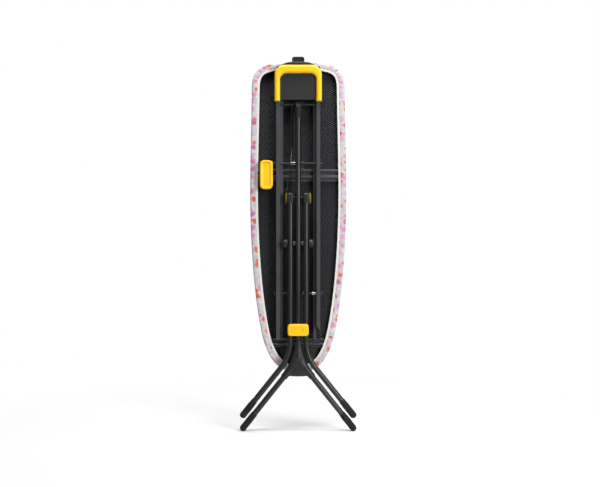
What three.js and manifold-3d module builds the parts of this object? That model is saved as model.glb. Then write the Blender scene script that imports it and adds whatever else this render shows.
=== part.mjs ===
// A folding ironing board, standing folded on its two longest feet with the legs towards the viewer.
// Millimetres, +Z up, +X to the right. The ironing face looks along +Y and the legs lie on the -Y side.
// Depth is counted from the mesh panel towards the legs, so a depth d lies at y = -d inside the group.
import * as THREE from "three";
import { mergeVertices } from "three/addons/utils/BufferGeometryUtils.js";
import Module from "manifold-3d";

const wasm = await Module();
wasm.setup();

// ---- driving dimensions ---------------------------------------------------------------------
const GAP = 0.3; // air left between pieces that touch
const THROUGH = 2; // how far a cutting tool runs past the face it leaves

const HEEL_Z = 1462;
const NOSE_Z = 222;
const WIDEST = { x: 191, z: 880 };
const HEEL_CORNER = { x: 185, z: 1356 };
const NOSE_SHOULDER = { x: 157.7, z: 449 };

const FRAME_TUBE_RADIUS = 9;
const FRAME_TUBE_WALL = 1;
const FRAME_TUBE_DEPTH = FRAME_TUBE_RADIUS + GAP;
const FRAME_TUBE_INSET = 13;
const BOARD_THICKNESS = { mesh: 0.5, pad: 7, cover: 1.5 };
const PAD_BACK = -0.5 - BOARD_THICKNESS.mesh - GAP - BOARD_THICKNESS.pad;
const COVER_BACK = PAD_BACK - GAP - BOARD_THICKNESS.cover;
const COVER_LIP = { front: 21.4, thickness: 1.5, inset: 22 };
const HEM_WIDTH = 9;

const BEAM_BACK = 2;
const BEAM_FRONT = 18.2;
const SHEET_STEEL = 1.5;
const MID_BEAM = { low: 987, high: 1036, halfWidth: 166 };
const NOSE_BEAM = { low: 325, high: 361, halfWidth: 102 };

const NOSE_PLATE = { topHalf: 74, sideHalf: 70, lowHalf: 30, shoulder: 262, low: 254, back: 9 };

const HEEL_BRACKET = { halfWidth: 88, low: 1402, high: HEEL_Z - 29 };
const MOULDING = { neckHalf: 57, half: 70, low: 1410, neckTop: 1427, shoulder: 1435, high: 1460, front: 46 };
const MOULDING_BOSS = { halfWidth: 40, low: 1411, high: 1429, front: 30 };
const HEEL_TAB = { halfWidth: 24.5, low: MOULDING.high + GAP, high: 1480.5, corner: 9, back: 24, front: 38 };
const TAB_RECESS = { border: 7, low: 1464, corner: 4, depth: 3 };

const RAIL = { inner: 60, step: 72.5, outer: 87.4, low: 357, high: 1425, flange: 28, front: 48, back: 18.5 };
const RAIL_END_CUT = { innerZ: 417, outerZ: 391 }; // the slanting end of the right-hand rail's raised band
const ROD_RADIUS = 4;
const ROD_DEPTH = 33;
const HEEL_AXLE_Z = 1290.6;
const LEVER_ROD_Z = 1057.2;
const LOWER_ROD_Z = 541.2;
const ROD_CAP_RADIUS = 6.5;
const COLLAR = { radius: 6.5, from: 54, sleeveRadius: 4.7, sleeveTo: 69.5 };
const SPRING = { x: -24.5, low: 1117, radius: 4.1, hookX: -30, wire: 1.2 };

const REST = { outer: 93.5, inner: 71.4, low: 1301, high: 1444.6, innerTop: 1411.5, back: 49.5, front: 67 };
const REST_CORNER = { outer: 40, inner: 26 };
const REST_PLATE = { low: 1308, back: 50, front: 53 };
const RUNNER = { back: 39.5, low: 1051, high: 1440 };
const LEVER = { left: -151.9, right: -100.3, low: 954, high: 1069, back: 42, front: 55, hub: 9.5 };
const LEVER_DISH = { side: 8, low: 10, high: 34, corner: 9, depth: 3 };
const LATCH = { from: 14, to: 20, eye: 8, heel: 9, heelLow: 28, tip: 24 };
const PULL_WIRE = { radius: 1.3, topX: -37.5, lowX: -43, depth: 38.6, low: 950 };

const LEG_RADIUS = 11;
const LEG_WALL = 1.2;
const LEG_DEPTH = 62;
const TWIN_X = 31.2;
const SCISSOR_Z = 739.3;
const SCISSOR_RADIUS = 6;
const SCISSOR_HALF = 46;
const SCISSOR_CAP = { radius: 17, shoulder: 57, end: 63, endRadius: 11 };
const SPACER_RADIUS = 8.8;
const ELBOW = { z: 918.5, depth: 48 };
const SPLAY = THREE.MathUtils.degToRad(38.7); // foot tubes, from the vertical
const FOOT_X = 216.8;
const FOOT_RADIUS = 13.2;
const FOOT_LENGTH = 84;
const SOLE_CUT = 0.6; // how much of the round toe the flat sole takes off
const LEG_A_FOOT_Z = FOOT_RADIUS - SOLE_CUT;
const LEG_B_FOOT_Z = LEG_A_FOOT_Z + 51;
const TWIN_BEND_RADIUS = 170;
const TOE = 14; // solid rubber beyond the end of the tube
const TUBE_TOP = { legA: 1268, legB: ELBOW.z + 9 };
const BRACKET = { eye: 12, eyeFrom: -12, eyeTo: 21, armHalf: 9, socketLow: 1236, socketHigh: 1276 };
const BRACKET_SOCKET = { radius: 12.6, topRadius: 14 };
const KNUCKLE = { top: 358, tubeStart: 330, radius: 14, socketEnd: 93, footTubeStart: 45 };
const BELL = { half: 52, low: 222, waistHalf: 24, waist: 280, topHalf: 14, top: 350 };
const BELL_LIP = { half: 36, low: 217.5, sag: 6 };
const LUG = { inner: 19.2, outer: 43.4, low: 900.7, high: 939.7, front: 74.3, corner: 10, eye: 12 };
const DISC = { inner: 44, shoulder: 45.5, outer: 51.5, radius: 21.5, outerRadius: 13 };

const LINK = { inner: 12.5, outer: 17.5, halfWidth: 7, eye: 9 };
const LOCK = { halfWidth: 41.5, low: 376, high: 423, back: 74.2, front: 88 };
const LOCK_WELL = { halfWidth: 20.3, halfHeight: 8.3, back: 78.5 };
const LOCK_BUTTON_BACK = 82;
const LOCK_BUTTON_FRONT = 88.6;
const TIE = { z: 789, halfHeight: 9, back: 4, front: 2 };

const MIDDLE_DEPTH = (LOCK_BUTTON_FRONT + COVER_BACK) / 2;

const FINISHES = {
  charcoalSteel: { color: 0x2b2c2b, roughness: 0.42, metalness: 0.6 },
  railSteel: { color: 0x4d4e50, roughness: 0.5, metalness: 0.5 },
  meshSteel: { color: 0x26262a, roughness: 0.6, metalness: 0.4 },
  zincSteel: { color: 0xb9bbbd, roughness: 0.3, metalness: 1 },
  yellowPlastic: { color: 0xffc61c, roughness: 0.4, metalness: 0 },
  blackPlastic: { color: 0x1d1e1f, roughness: 0.55, metalness: 0 },
  rubber: { color: 0x222324, roughness: 0.8, metalness: 0 },
  felt: { color: 0x1b1c1f, roughness: 1, metalness: 0 },
  cotton: { color: 0xd5d6d4, roughness: 0.95, metalness: 0 },
  hem: { color: 0xf1efec, roughness: 0.95, metalness: 0 },
};

// ---- helpers --------------------------------------------------------------------------------
/** A point from its x, its depth and its height. */
function at(x, depth, z) {
  return new THREE.Vector3(x, -depth, z);
}

/** A closed geometry as a solid that can be joined and cut. */
function toSolid(geometry) {
  const bare = geometry.clone();
  bare.deleteAttribute("normal");
  bare.deleteAttribute("uv");
  const merged = mergeVertices(bare, 1e-4);
  return new wasm.Manifold(new wasm.Mesh({
    numProp: 3,
    vertProperties: Float32Array.from(merged.attributes.position.array),
    triVerts: Uint32Array.from(merged.index.array),
  }));
}

/** The geometry of a solid. */
function toGeometry(solid) {
  const mesh = solid.getMesh();
  const geometry = new THREE.BufferGeometry();
  geometry.setAttribute("position", new THREE.BufferAttribute(mesh.vertProperties, 3));
  geometry.setIndex(new THREE.BufferAttribute(mesh.triVerts, 1));
  return geometry;
}

/** The first geometry joined with the others. */
function join(first, ...others) {
  return toGeometry(others.reduce((solid, other) => solid.add(toSolid(other)), toSolid(first)));
}

/** The first geometry with the others cut out of it. */
function cut(first, ...tools) {
  return toGeometry(tools.reduce((solid, tool) => solid.subtract(toSolid(tool)), toSolid(first)));
}

/** A closed cylinder, or a cone with a second radius, between two points. */
function cylinder(radius, start, end, sides = 16, endRadius = radius) {
  const axis = new THREE.Vector3().subVectors(end, start);
  const geometry = new THREE.CylinderGeometry(endRadius, radius, axis.length(), sides);
  geometry.translate(0, axis.length() / 2, 0);
  const turn = new THREE.Quaternion().setFromUnitVectors(new THREE.Vector3(0, 1, 0), axis.normalize());
  geometry.applyQuaternion(turn);
  geometry.translate(start.x, start.y, start.z);
  return geometry;
}

/** A cylinder along X. */
function crossRod(radius, fromX, toX, depth, z, sides = 16) {
  return cylinder(radius, at(fromX, depth, z), at(toX, depth, z), sides);
}

/** A box from its limits across, in depth and in height. */
function box(fromX, toX, back, front, low, high) {
  const geometry = new THREE.BoxGeometry(toX - fromX, front - back, high - low);
  geometry.translate((fromX + toX) / 2, -(back + front) / 2, (low + high) / 2);
  return geometry;
}

/** A shape drawn in X and Z, given its thickness from one depth to another. */
function frontPlate(shape, back, front, curveSegments = 6) {
  const settings = { depth: front - back, bevelEnabled: false, curveSegments };
  const geometry = new THREE.ExtrudeGeometry(shape, settings);
  geometry.translate(0, 0, back);
  geometry.rotateX(Math.PI / 2);
  return geometry;
}

/** A shape drawn in Y and Z, run along X. */
function sidePlate(shape, fromX, toX, curveSegments = 6) {
  const settings = { depth: toX - fromX, bevelEnabled: false, curveSegments };
  const geometry = new THREE.ExtrudeGeometry(shape, settings);
  geometry.translate(0, 0, fromX);
  const toWorld = new THREE.Matrix4().makeBasis(
    new THREE.Vector3(0, 1, 0), new THREE.Vector3(0, 0, 1), new THREE.Vector3(1, 0, 0));
  geometry.applyMatrix4(toWorld);
  return geometry;
}

/** A rectangle with round corners. */
function roundedRectangle(left, right, low, high, radius) {
  const shape = new THREE.Shape();
  shape.moveTo(left + radius, low);
  shape.lineTo(right - radius, low);
  shape.absarc(right - radius, low + radius, radius, -Math.PI / 2, 0);
  shape.lineTo(right, high - radius);
  shape.absarc(right - radius, high - radius, radius, 0, Math.PI / 2);
  shape.lineTo(left + radius, high);
  shape.absarc(left + radius, high - radius, radius, Math.PI / 2, Math.PI);
  shape.lineTo(left, low + radius);
  shape.absarc(left + radius, low + radius, radius, Math.PI, Math.PI * 1.5);
  return shape;
}

/** The points of a circle, for a section of a given number of sides. */
function circlePoints(radius, sides) {
  const step = (2 * Math.PI) / sides;
  return Array.from({ length: sides }, (_, index) =>
    new THREE.Vector2(radius * Math.cos(index * step), radius * Math.sin(index * step)));
}

/** A path through stations, with one extrusion step between each two of them. */
class StationPath extends THREE.Curve {
  constructor(stations) {
    super();
    this.stations = stations;
  }

  getPoint(t, target = new THREE.Vector3()) {
    const place = Math.min(Math.max(t, 0), 1) * (this.stations.length - 1);
    const index = Math.min(Math.floor(place), this.stations.length - 2);
    return target.lerpVectors(this.stations[index], this.stations[index + 1], place - index);
  }

  getPointAt(t, target) {
    return this.getPoint(t, target);
  }

  getTangentAt(t, target = new THREE.Vector3()) {
    const half = 0.5 / (this.stations.length - 1);
    return target.subVectors(this.getPoint(t + half), this.getPoint(t - half)).normalize();
  }
}

/** A tube with a real wall along stations. */
function bentTube(radius, wall, stations, sides) {
  const section = new THREE.Shape(circlePoints(radius, sides));
  section.holes.push(new THREE.Path(circlePoints(radius - wall, sides)));
  const extrudePath = new StationPath(stations);
  const settings = { steps: stations.length - 1, extrudePath, bevelEnabled: false };
  return new THREE.ExtrudeGeometry(section, settings);
}

/** A straight tube with a real wall. */
function pipe(radius, wall, start, end, sides = 16) {
  const beyond = new THREE.Vector3().subVectors(end, start).setLength(THROUGH);
  const bore = cylinder(radius - wall, start.clone().sub(beyond), end.clone().add(beyond), sides);
  return cut(cylinder(radius, start, end, sides), bore);
}

/** The unit direction from one point to another, turned a quarter to the left. */
function leftOf(from, to) {
  return new THREE.Vector2(from.y - to.y, to.x - from.x).normalize();
}

/** A sheet-metal section: a folded line given its thickness on its left-hand side. */
function foldedSheet(line, thickness) {
  const sides = line.slice(1).map((point, index) => leftOf(line[index], point));
  const offset = line.map((point, index) => {
    const arriving = sides[Math.max(index - 1, 0)];
    const leaving = sides[Math.min(index, sides.length - 1)];
    const mitre = arriving.clone().add(leaving).normalize();
    return point.clone().addScaledVector(mitre, thickness / mitre.dot(arriving));
  });
  return new THREE.Shape([...line, ...offset.reverse()]);
}

/** A geometry mirrored to the other side of the object. */
function mirrored(geometry) {
  return toGeometry(toSolid(geometry).mirror([1, 0, 0]));
}

/** A point of a curve, moved to the right of its direction. */
function insetPoint(curve, t, inset) {
  const tangent = curve.getTangent(t);
  return curve.getPoint(t).add(new THREE.Vector2(tangent.y * inset, -tangent.x * inset));
}

/** The right-hand edge of the board from heel to nose, moved inwards by an inset. */
function rightEdge(inset, steps = 7) {
  const corner = [[0, HEEL_Z], [140, HEEL_Z], [HEEL_CORNER.x, 1446], [HEEL_CORNER.x, HEEL_CORNER.z]];
  const upper = [[HEEL_CORNER.x, HEEL_CORNER.z], [187, 1200], [193.5, 1000], [WIDEST.x, WIDEST.z]];
  const lower = [[WIDEST.x, WIDEST.z], [188.5, 720], [176, 560], [NOSE_SHOULDER.x, NOSE_SHOULDER.z]];
  const nose = [[NOSE_SHOULDER.x, NOSE_SHOULDER.z], [142, 350], [118, NOSE_Z], [0, NOSE_Z]];
  const points = [];
  for (const [index, control] of [corner, upper, lower, nose].entries()) {
    const curve = new THREE.CubicBezierCurve(...control.map(([x, z]) => new THREE.Vector2(x, z)));
    const straight = index === 1 || index === 2;
    const count = straight ? Math.ceil(steps / 2) : steps;
    for (let step = index ? 1 : 0; step <= count; step += 1) {
      points.push(insetPoint(curve, step / count, inset));
    }
  }
  points[0].x = 0;
  points[points.length - 1].x = 0;
  return points;
}

/** The board's whole outline, moved inwards by an inset. */
function boardOutline(inset) {
  const right = rightEdge(inset);
  const left = right.slice(1, -1).map((point) => new THREE.Vector2(-point.x, point.y)).reverse();
  return [...right, ...left].reverse();
}

// ---- board: the body everything else hangs on -------------------------------------------------
function frameTubeRight() {
  const edge = rightEdge(FRAME_TUBE_INSET, 8);
  edge[0].x = -FRAME_TUBE_RADIUS;
  edge[edge.length - 1].x = -FRAME_TUBE_RADIUS;
  const stations = edge.map((point) => at(point.x, FRAME_TUBE_DEPTH, point.y));
  const overlong = bentTube(FRAME_TUBE_RADIUS, FRAME_TUBE_WALL, stations, 10);
  return cut(overlong, box(-3 * FRAME_TUBE_RADIUS, GAP / 2, -20, 40, NOSE_Z, HEEL_Z));
}

function meshPanel() {
  return frontPlate(new THREE.Shape(boardOutline(6)), -0.5 - BOARD_THICKNESS.mesh, -0.5);
}

function feltPad() {
  return frontPlate(new THREE.Shape(boardOutline(2.3)), PAD_BACK, PAD_BACK + BOARD_THICKNESS.pad);
}

function cover() {
  const lipBack = COVER_LIP.front - COVER_LIP.thickness;
  const outer = frontPlate(new THREE.Shape(boardOutline(0)), COVER_BACK, COVER_LIP.front);
  const inside = new THREE.Shape(boardOutline(BOARD_THICKNESS.cover + GAP));
  const pocket = frontPlate(inside, PAD_BACK - GAP, lipBack);
  const mouth = frontPlate(new THREE.Shape(boardOutline(COVER_LIP.inset)), 0, COVER_LIP.front + THROUGH);
  return cut(outer, pocket, mouth);
}

function elasticHem() {
  const ring = new THREE.Shape(boardOutline(COVER_LIP.inset + GAP));
  ring.holes.push(new THREE.Path(boardOutline(COVER_LIP.inset + HEM_WIDTH)));
  return frontPlate(ring, COVER_LIP.front - COVER_LIP.thickness, COVER_LIP.front);
}

/** A pressed beam across the board: two ridges with a groove between them and a flange below. */
function crossbeam({ low, high, halfWidth }) {
  const rise = high - low;
  const fold = [
    [0, 5], [0.12, 5], [0.26, BEAM_FRONT], [0.46, BEAM_FRONT],
    [0.58, 6], [0.66, 6], [0.8, 17], [0.94, 17], [1, 10],
  ].map(([share, depth]) => new THREE.Vector2(-depth, low + share * rise));
  return sidePlate(foldedSheet(fold, -SHEET_STEEL), -halfWidth, halfWidth);
}

function nosePlate() {
  const { topHalf, sideHalf, lowHalf, shoulder, low, back } = NOSE_PLATE;
  const top = NOSE_BEAM.low - 2;
  const shape = new THREE.Shape();
  shape.moveTo(-topHalf, top);
  shape.quadraticCurveTo(-sideHalf, shoulder, -lowHalf, low);
  shape.lineTo(lowHalf, low);
  shape.quadraticCurveTo(sideHalf, shoulder, topHalf, top);
  return frontPlate(shape, back, back + SHEET_STEEL);
}

function heelBracket() {
  const { halfWidth, low, high } = HEEL_BRACKET;
  return box(-halfWidth, halfWidth, BEAM_BACK, BEAM_FRONT, low, high);
}

/** The moulding over the heel: a neck between the rails that widens into a low dome above them. */
function heelMoulding() {
  const { neckHalf, half, low, neckTop, shoulder, high, front } = MOULDING;
  const dome = new THREE.Shape();
  dome.moveTo(-neckHalf, low);
  dome.lineTo(neckHalf, low);
  dome.lineTo(neckHalf, neckTop);
  dome.lineTo(half, neckTop);
  dome.lineTo(half, shoulder);
  dome.bezierCurveTo(0.9 * half, high - 10, 0.62 * half, high, 0.3 * half, high);
  dome.lineTo(-0.3 * half, high);
  dome.bezierCurveTo(-0.62 * half, high, -0.9 * half, high - 10, -half, shoulder);
  dome.lineTo(-half, neckTop);
  dome.lineTo(-neckHalf, neckTop);
  const shell = frontPlate(dome, COVER_LIP.front + GAP, front);
  const { halfWidth } = MOULDING_BOSS;
  const back = BEAM_FRONT + GAP;
  const boss = box(-halfWidth, halfWidth, back, MOULDING_BOSS.front, MOULDING_BOSS.low, MOULDING_BOSS.high);
  return join(shell, boss);
}

function heelTab() {
  const { halfWidth, low, high, corner, back, front } = HEEL_TAB;
  const tab = frontPlate(roundedRectangle(-halfWidth, halfWidth, low, high, corner), back, front, 4);
  const inner = halfWidth - TAB_RECESS.border;
  const hollow = roundedRectangle(-inner, inner, TAB_RECESS.low, high - 5, TAB_RECESS.corner);
  return cut(tab, frontPlate(hollow, front - TAB_RECESS.depth, front + THROUGH, 4));
}

/** A guide rail: a raised channel open towards the board, with a lower flange on its inner side. */
function railRight() {
  const { inner, step, outer, low, high, flange, front, back } = RAIL;
  const fold = [[inner, flange], [step, flange], [step, front], [outer, front], [outer, back]];
  const line = fold.map(([x, depth]) => new THREE.Vector2(x, -depth));
  const settings = { depth: high - low, bevelEnabled: false };
  const section = new THREE.ExtrudeGeometry(foldedSheet(line, SHEET_STEEL), settings);
  section.translate(0, 0, low);
  const hole = ROD_RADIUS + GAP;
  return cut(section,
    crossRod(hole, step - THROUGH, step + 4, ROD_DEPTH, HEEL_AXLE_Z),
    crossRod(hole, step - THROUGH, outer + THROUGH, ROD_DEPTH, LEVER_ROD_Z),
    crossRod(hole, step - THROUGH, outer + THROUGH, ROD_DEPTH, LOWER_ROD_Z));
}

/** The right-hand rail, whose raised band ends in a slanting cut above the nose crossbeam. */
function cutRailRight() {
  const { step, outer, low, flange, front } = RAIL;
  const waste = new THREE.Shape();
  waste.moveTo(step - THROUGH, RAIL_END_CUT.innerZ);
  waste.lineTo(step - THROUGH, low - THROUGH);
  waste.lineTo(outer + THROUGH, low - THROUGH);
  waste.lineTo(outer + THROUGH, RAIL_END_CUT.outerZ);
  return cut(railRight(), frontPlate(waste, flange + SHEET_STEEL, front + THROUGH));
}

const ROD_END = RAIL.outer + 2.6;

function heelAxle() {
  const end = RAIL.outer - SHEET_STEEL - GAP;
  return crossRod(ROD_RADIUS, -end, end, ROD_DEPTH, HEEL_AXLE_Z);
}

function lowerRod() {
  return crossRod(ROD_RADIUS, -ROD_END, ROD_END, ROD_DEPTH, LOWER_ROD_Z);
}

function rodCap(z) {
  return crossRod(ROD_CAP_RADIUS, ROD_END + GAP, ROD_END + ROD_CAP_RADIUS, ROD_DEPTH, z);
}

/** A ring around a cross rod. */
function collar(fromX, toX, radius, z) {
  const bore = crossRod(ROD_RADIUS + GAP, fromX - THROUGH, toX + THROUGH, ROD_DEPTH, z);
  return cut(crossRod(radius, fromX, toX, ROD_DEPTH, z), bore);
}

/** The collar on the lower rod, with a thin sleeve that lies over the rail's flange. */
function steppedCollar() {
  const { radius, from, sleeveRadius, sleeveTo } = COLLAR;
  const shoulder = RAIL.inner - GAP;
  return join(
    collar(from, shoulder, radius, LOWER_ROD_Z), collar(shoulder - 1, sleeveTo, sleeveRadius, LOWER_ROD_Z));
}

function springSleeve() {
  const top = HEEL_AXLE_Z - ROD_RADIUS - GAP;
  return cylinder(SPRING.radius, at(SPRING.x, ROD_DEPTH, SPRING.low), at(SPRING.x, ROD_DEPTH, top), 12);
}

function springWire() {
  const low = at(SPRING.hookX, ROD_DEPTH, LEVER_ROD_Z + ROD_RADIUS + 4.5);
  return cylinder(SPRING.wire, low, at(SPRING.x, ROD_DEPTH, SPRING.low - GAP), 8);
}

// ---- iron rest: slides out past the heel --------------------------------------------------------
function ironRestRim() {
  const { outer, inner, low, high, innerTop } = REST;
  const wide = REST_CORNER.outer;
  const tight = REST_CORNER.inner;
  const shape = new THREE.Shape();
  shape.moveTo(inner, low);
  shape.lineTo(outer, low);
  shape.lineTo(outer, high - wide);
  shape.absarc(outer - wide, high - wide, wide, 0, Math.PI / 2);
  shape.lineTo(-outer + wide, high);
  shape.absarc(-outer + wide, high - wide, wide, Math.PI / 2, Math.PI);
  shape.lineTo(-outer, low);
  shape.lineTo(-inner, low);
  shape.lineTo(-inner, innerTop - tight);
  shape.absarc(-inner + tight, innerTop - tight, tight, Math.PI, Math.PI / 2, true);
  shape.lineTo(inner - tight, innerTop);
  shape.absarc(inner - tight, innerTop - tight, tight, Math.PI / 2, 0, true);
  return frontPlate(shape, REST.back, REST.front, 8);
}

function ironRestPlate() {
  const { low, back, front } = REST_PLATE;
  const side = REST.inner - GAP;
  const top = REST.innerTop - GAP;
  const corner = REST_CORNER.inner;
  const shape = new THREE.Shape();
  shape.moveTo(-side, low);
  shape.lineTo(side, low);
  shape.lineTo(side, top - corner);
  shape.absarc(side - corner, top - corner, corner, 0, Math.PI / 2);
  shape.lineTo(-side + corner, top);
  shape.absarc(-side + corner, top - corner, corner, Math.PI / 2, Math.PI);
  return frontPlate(shape, back, front, 8);
}

/** A flat runner that slides in the rail's channel and turns up past its end to carry the rim. */
function runnerRight() {
  const clear = SHEET_STEEL + 0.5;
  const from = RAIL.step + clear;
  const to = RAIL.outer - clear;
  const bar = box(from, to, RUNNER.back, RAIL.front - SHEET_STEEL - GAP, RUNNER.low, RUNNER.high);
  return join(bar, box(from, to, RUNNER.back, REST.back - GAP, RAIL.high + 1, RUNNER.high));
}

// ---- release lever: turns with the rod that carries the latch -----------------------------------
function releaseLever() {
  const { left, right, low, high, back, front } = LEVER;
  const paddle = frontPlate(roundedRectangle(left, right, low, high, 14), back, front, 5);
  const hub = crossRod(LEVER.hub, left + 2, right - 2, ROD_DEPTH, LEVER_ROD_Z, 20);
  const web = box(left + 4, right - 4, ROD_DEPTH, back + 1, LEVER_ROD_Z - 8, LEVER_ROD_Z + 8);
  const { side, corner } = LEVER_DISH;
  const hollow = roundedRectangle(
    left + side, right - side, low + LEVER_DISH.low, high - LEVER_DISH.high, corner);
  const dish = frontPlate(hollow, front - LEVER_DISH.depth, front + THROUGH, 5);
  const bore = crossRod(ROD_RADIUS + GAP, left - THROUGH, right + THROUGH, ROD_DEPTH, LEVER_ROD_Z);
  return cut(join(paddle, hub, web), dish, bore);
}

function leverRod() {
  return crossRod(ROD_RADIUS, LEVER.left + 2, ROD_END, ROD_DEPTH, LEVER_ROD_Z);
}

/** A latch finger that hangs from the lever rod. */
function latchPawl() {
  const { from, to, eye, heel, heelLow, tip } = LATCH;
  const shape = new THREE.Shape();
  shape.moveTo(-ROD_DEPTH - eye, LEVER_ROD_Z);
  shape.absarc(-ROD_DEPTH, LEVER_ROD_Z, eye, Math.PI, 0, true);
  shape.lineTo(-ROD_DEPTH + 3, LEVER_ROD_Z - tip);
  shape.lineTo(-ROD_DEPTH - heel, LEVER_ROD_Z - heelLow);
  shape.lineTo(-ROD_DEPTH - heel, LEVER_ROD_Z - heelLow + 6);
  shape.lineTo(-ROD_DEPTH - heel + 4, LEVER_ROD_Z - heelLow + 10);
  shape.holes.push(new THREE.Path(circlePoints(ROD_RADIUS + GAP, 14)
    .map((point) => new THREE.Vector2(point.x - ROD_DEPTH, point.y + LEVER_ROD_Z))));
  return sidePlate(shape, from, to, 8);
}

function pullWire() {
  const { radius, topX, lowX, depth, low } = PULL_WIRE;
  return cylinder(radius, at(topX, depth, LEVER_ROD_Z - 3), at(lowX, depth, low), 8);
}

// ---- leg A: one tube down to a knuckle and two splayed feet ---------------------------------------
const FOOT_AXIS = new THREE.Vector3(Math.sin(SPLAY), 0, -Math.cos(SPLAY));

/** The corner of leg A's V, worked back from the toe along the splay. */
const LEG_A_CORNER_Z = LEG_A_FOOT_Z + FOOT_X / Math.tan(SPLAY);

/** A point on leg A's right-hand foot tube, counted from the corner of the V. */
function alongFoot(distance) {
  return at(0, LEG_DEPTH, LEG_A_CORNER_Z).addScaledVector(FOOT_AXIS, distance);
}

function legATube() {
  const start = at(0, LEG_DEPTH, KNUCKLE.tubeStart);
  const tube = pipe(LEG_RADIUS, LEG_WALL, start, at(0, LEG_DEPTH, TUBE_TOP.legA));
  const hole = SCISSOR_RADIUS + GAP;
  return cut(tube, crossRod(hole, -LEG_RADIUS - THROUGH, LEG_RADIUS + THROUGH, LEG_DEPTH, SCISSOR_Z));
}

/** The moulded bracket at the top of leg A: a socket for the tube and an eye round the heel axle. */
function legABracket() {
  const { eye, eyeFrom, eyeTo, armHalf, socketLow, socketHigh } = BRACKET;
  const ring = crossRod(eye, eyeFrom, eyeTo, ROD_DEPTH, HEEL_AXLE_Z, 20);
  const arm = new THREE.Shape();
  arm.moveTo(-ROD_DEPTH - 2, HEEL_AXLE_Z + eye - 0.2);
  arm.lineTo(-LEG_DEPTH - 8, socketHigh);
  arm.lineTo(-LEG_DEPTH - 8, socketLow + 8);
  arm.lineTo(-ROD_DEPTH - 10, socketHigh - 14);
  arm.lineTo(-ROD_DEPTH + 8, HEEL_AXLE_Z - 9);
  const { radius, topRadius } = BRACKET_SOCKET;
  const socket = cylinder(radius, at(0, LEG_DEPTH, socketLow), at(0, LEG_DEPTH, socketHigh), 20, topRadius);
  const top = at(0, LEG_DEPTH, TUBE_TOP.legA + GAP);
  const tubeHole = cylinder(LEG_RADIUS + GAP, at(0, LEG_DEPTH, socketLow - THROUGH), top);
  const axleHole = crossRod(ROD_RADIUS + GAP, eyeFrom - THROUGH, eyeTo + THROUGH, ROD_DEPTH, HEEL_AXLE_Z);
  return cut(join(ring, sidePlate(arm, -armHalf, armHalf), socket), tubeHole, axleHole);
}

/** The bell-shaped web between the knuckle's branches. */
function knuckleBell() {
  const { half, low, waistHalf, waist, topHalf } = BELL;
  const lip = BELL_LIP;
  const shape = new THREE.Shape();
  shape.moveTo(-half, low);
  shape.lineTo(-lip.half, lip.low);
  shape.quadraticCurveTo(0, lip.low - lip.sag, lip.half, lip.low);
  shape.lineTo(half, low);
  shape.quadraticCurveTo(waistHalf, waist, topHalf, BELL.top);
  shape.lineTo(-topHalf, BELL.top);
  shape.quadraticCurveTo(-waistHalf, waist, -half, low);
  return frontPlate(shape, LEG_DEPTH - 10, LEG_DEPTH + 10);
}

/** The moulded knuckle where leg A's tube meets its two foot tubes. */
function legAKnuckle() {
  const { top, tubeStart, radius, socketEnd, footTubeStart } = KNUCKLE;
  const neck = cylinder(radius + 3, at(0, LEG_DEPTH, LEG_A_CORNER_Z), at(0, LEG_DEPTH, top), 20, radius);
  const branch = cylinder(radius, alongFoot(-4), alongFoot(socketEnd), 20);
  const body = join(neck, branch, mirrored(branch), knuckleBell());
  const bore = LEG_RADIUS + GAP;
  const legHole = cylinder(bore, at(0, LEG_DEPTH, tubeStart - GAP), at(0, LEG_DEPTH, top + THROUGH));
  const footHole = cylinder(bore, alongFoot(footTubeStart - GAP), alongFoot(socketEnd + THROUGH));
  return cut(body, legHole, footHole, mirrored(footHole));
}

function legAFootTube() {
  const end = FOOT_X / Math.sin(SPLAY) - TOE + FOOT_RADIUS - GAP;
  return pipe(LEG_RADIUS, LEG_WALL, alongFoot(KNUCKLE.footTubeStart), alongFoot(end));
}

/** A rubber foot, lying along its tube with a round toe and a flat sole. */
function rubberFoot(toeZ) {
  const profile = [[0, 0]];
  for (let step = 1; step <= 4; step += 1) {
    const angle = (step * Math.PI) / 8;
    profile.push([FOOT_RADIUS * Math.sin(angle), FOOT_RADIUS * (1 - Math.cos(angle))]);
  }
  const bore = LEG_RADIUS + GAP;
  profile.push([FOOT_RADIUS, FOOT_LENGTH - 16], [FOOT_RADIUS - 0.8, FOOT_LENGTH - 14]);
  profile.push([FOOT_RADIUS - 0.8, FOOT_LENGTH], [bore, FOOT_LENGTH], [bore, TOE], [0, TOE]);
  const points = profile.map(([radius, along]) => new THREE.Vector2(radius, along));
  const foot = new THREE.LatheGeometry(points, 20);
  foot.translate(0, -FOOT_RADIUS, 0);
  foot.applyQuaternion(new THREE.Quaternion().setFromUnitVectors(
    new THREE.Vector3(0, 1, 0), FOOT_AXIS.clone().negate()));
  foot.translate(FOOT_X, -LEG_DEPTH, toeZ);
  const floor = toeZ - LEG_A_FOOT_Z;
  return cut(foot, box(FOOT_X - 60, FOOT_X + 60, LEG_DEPTH - 60, LEG_DEPTH + 60, floor - 60, floor));
}

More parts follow.
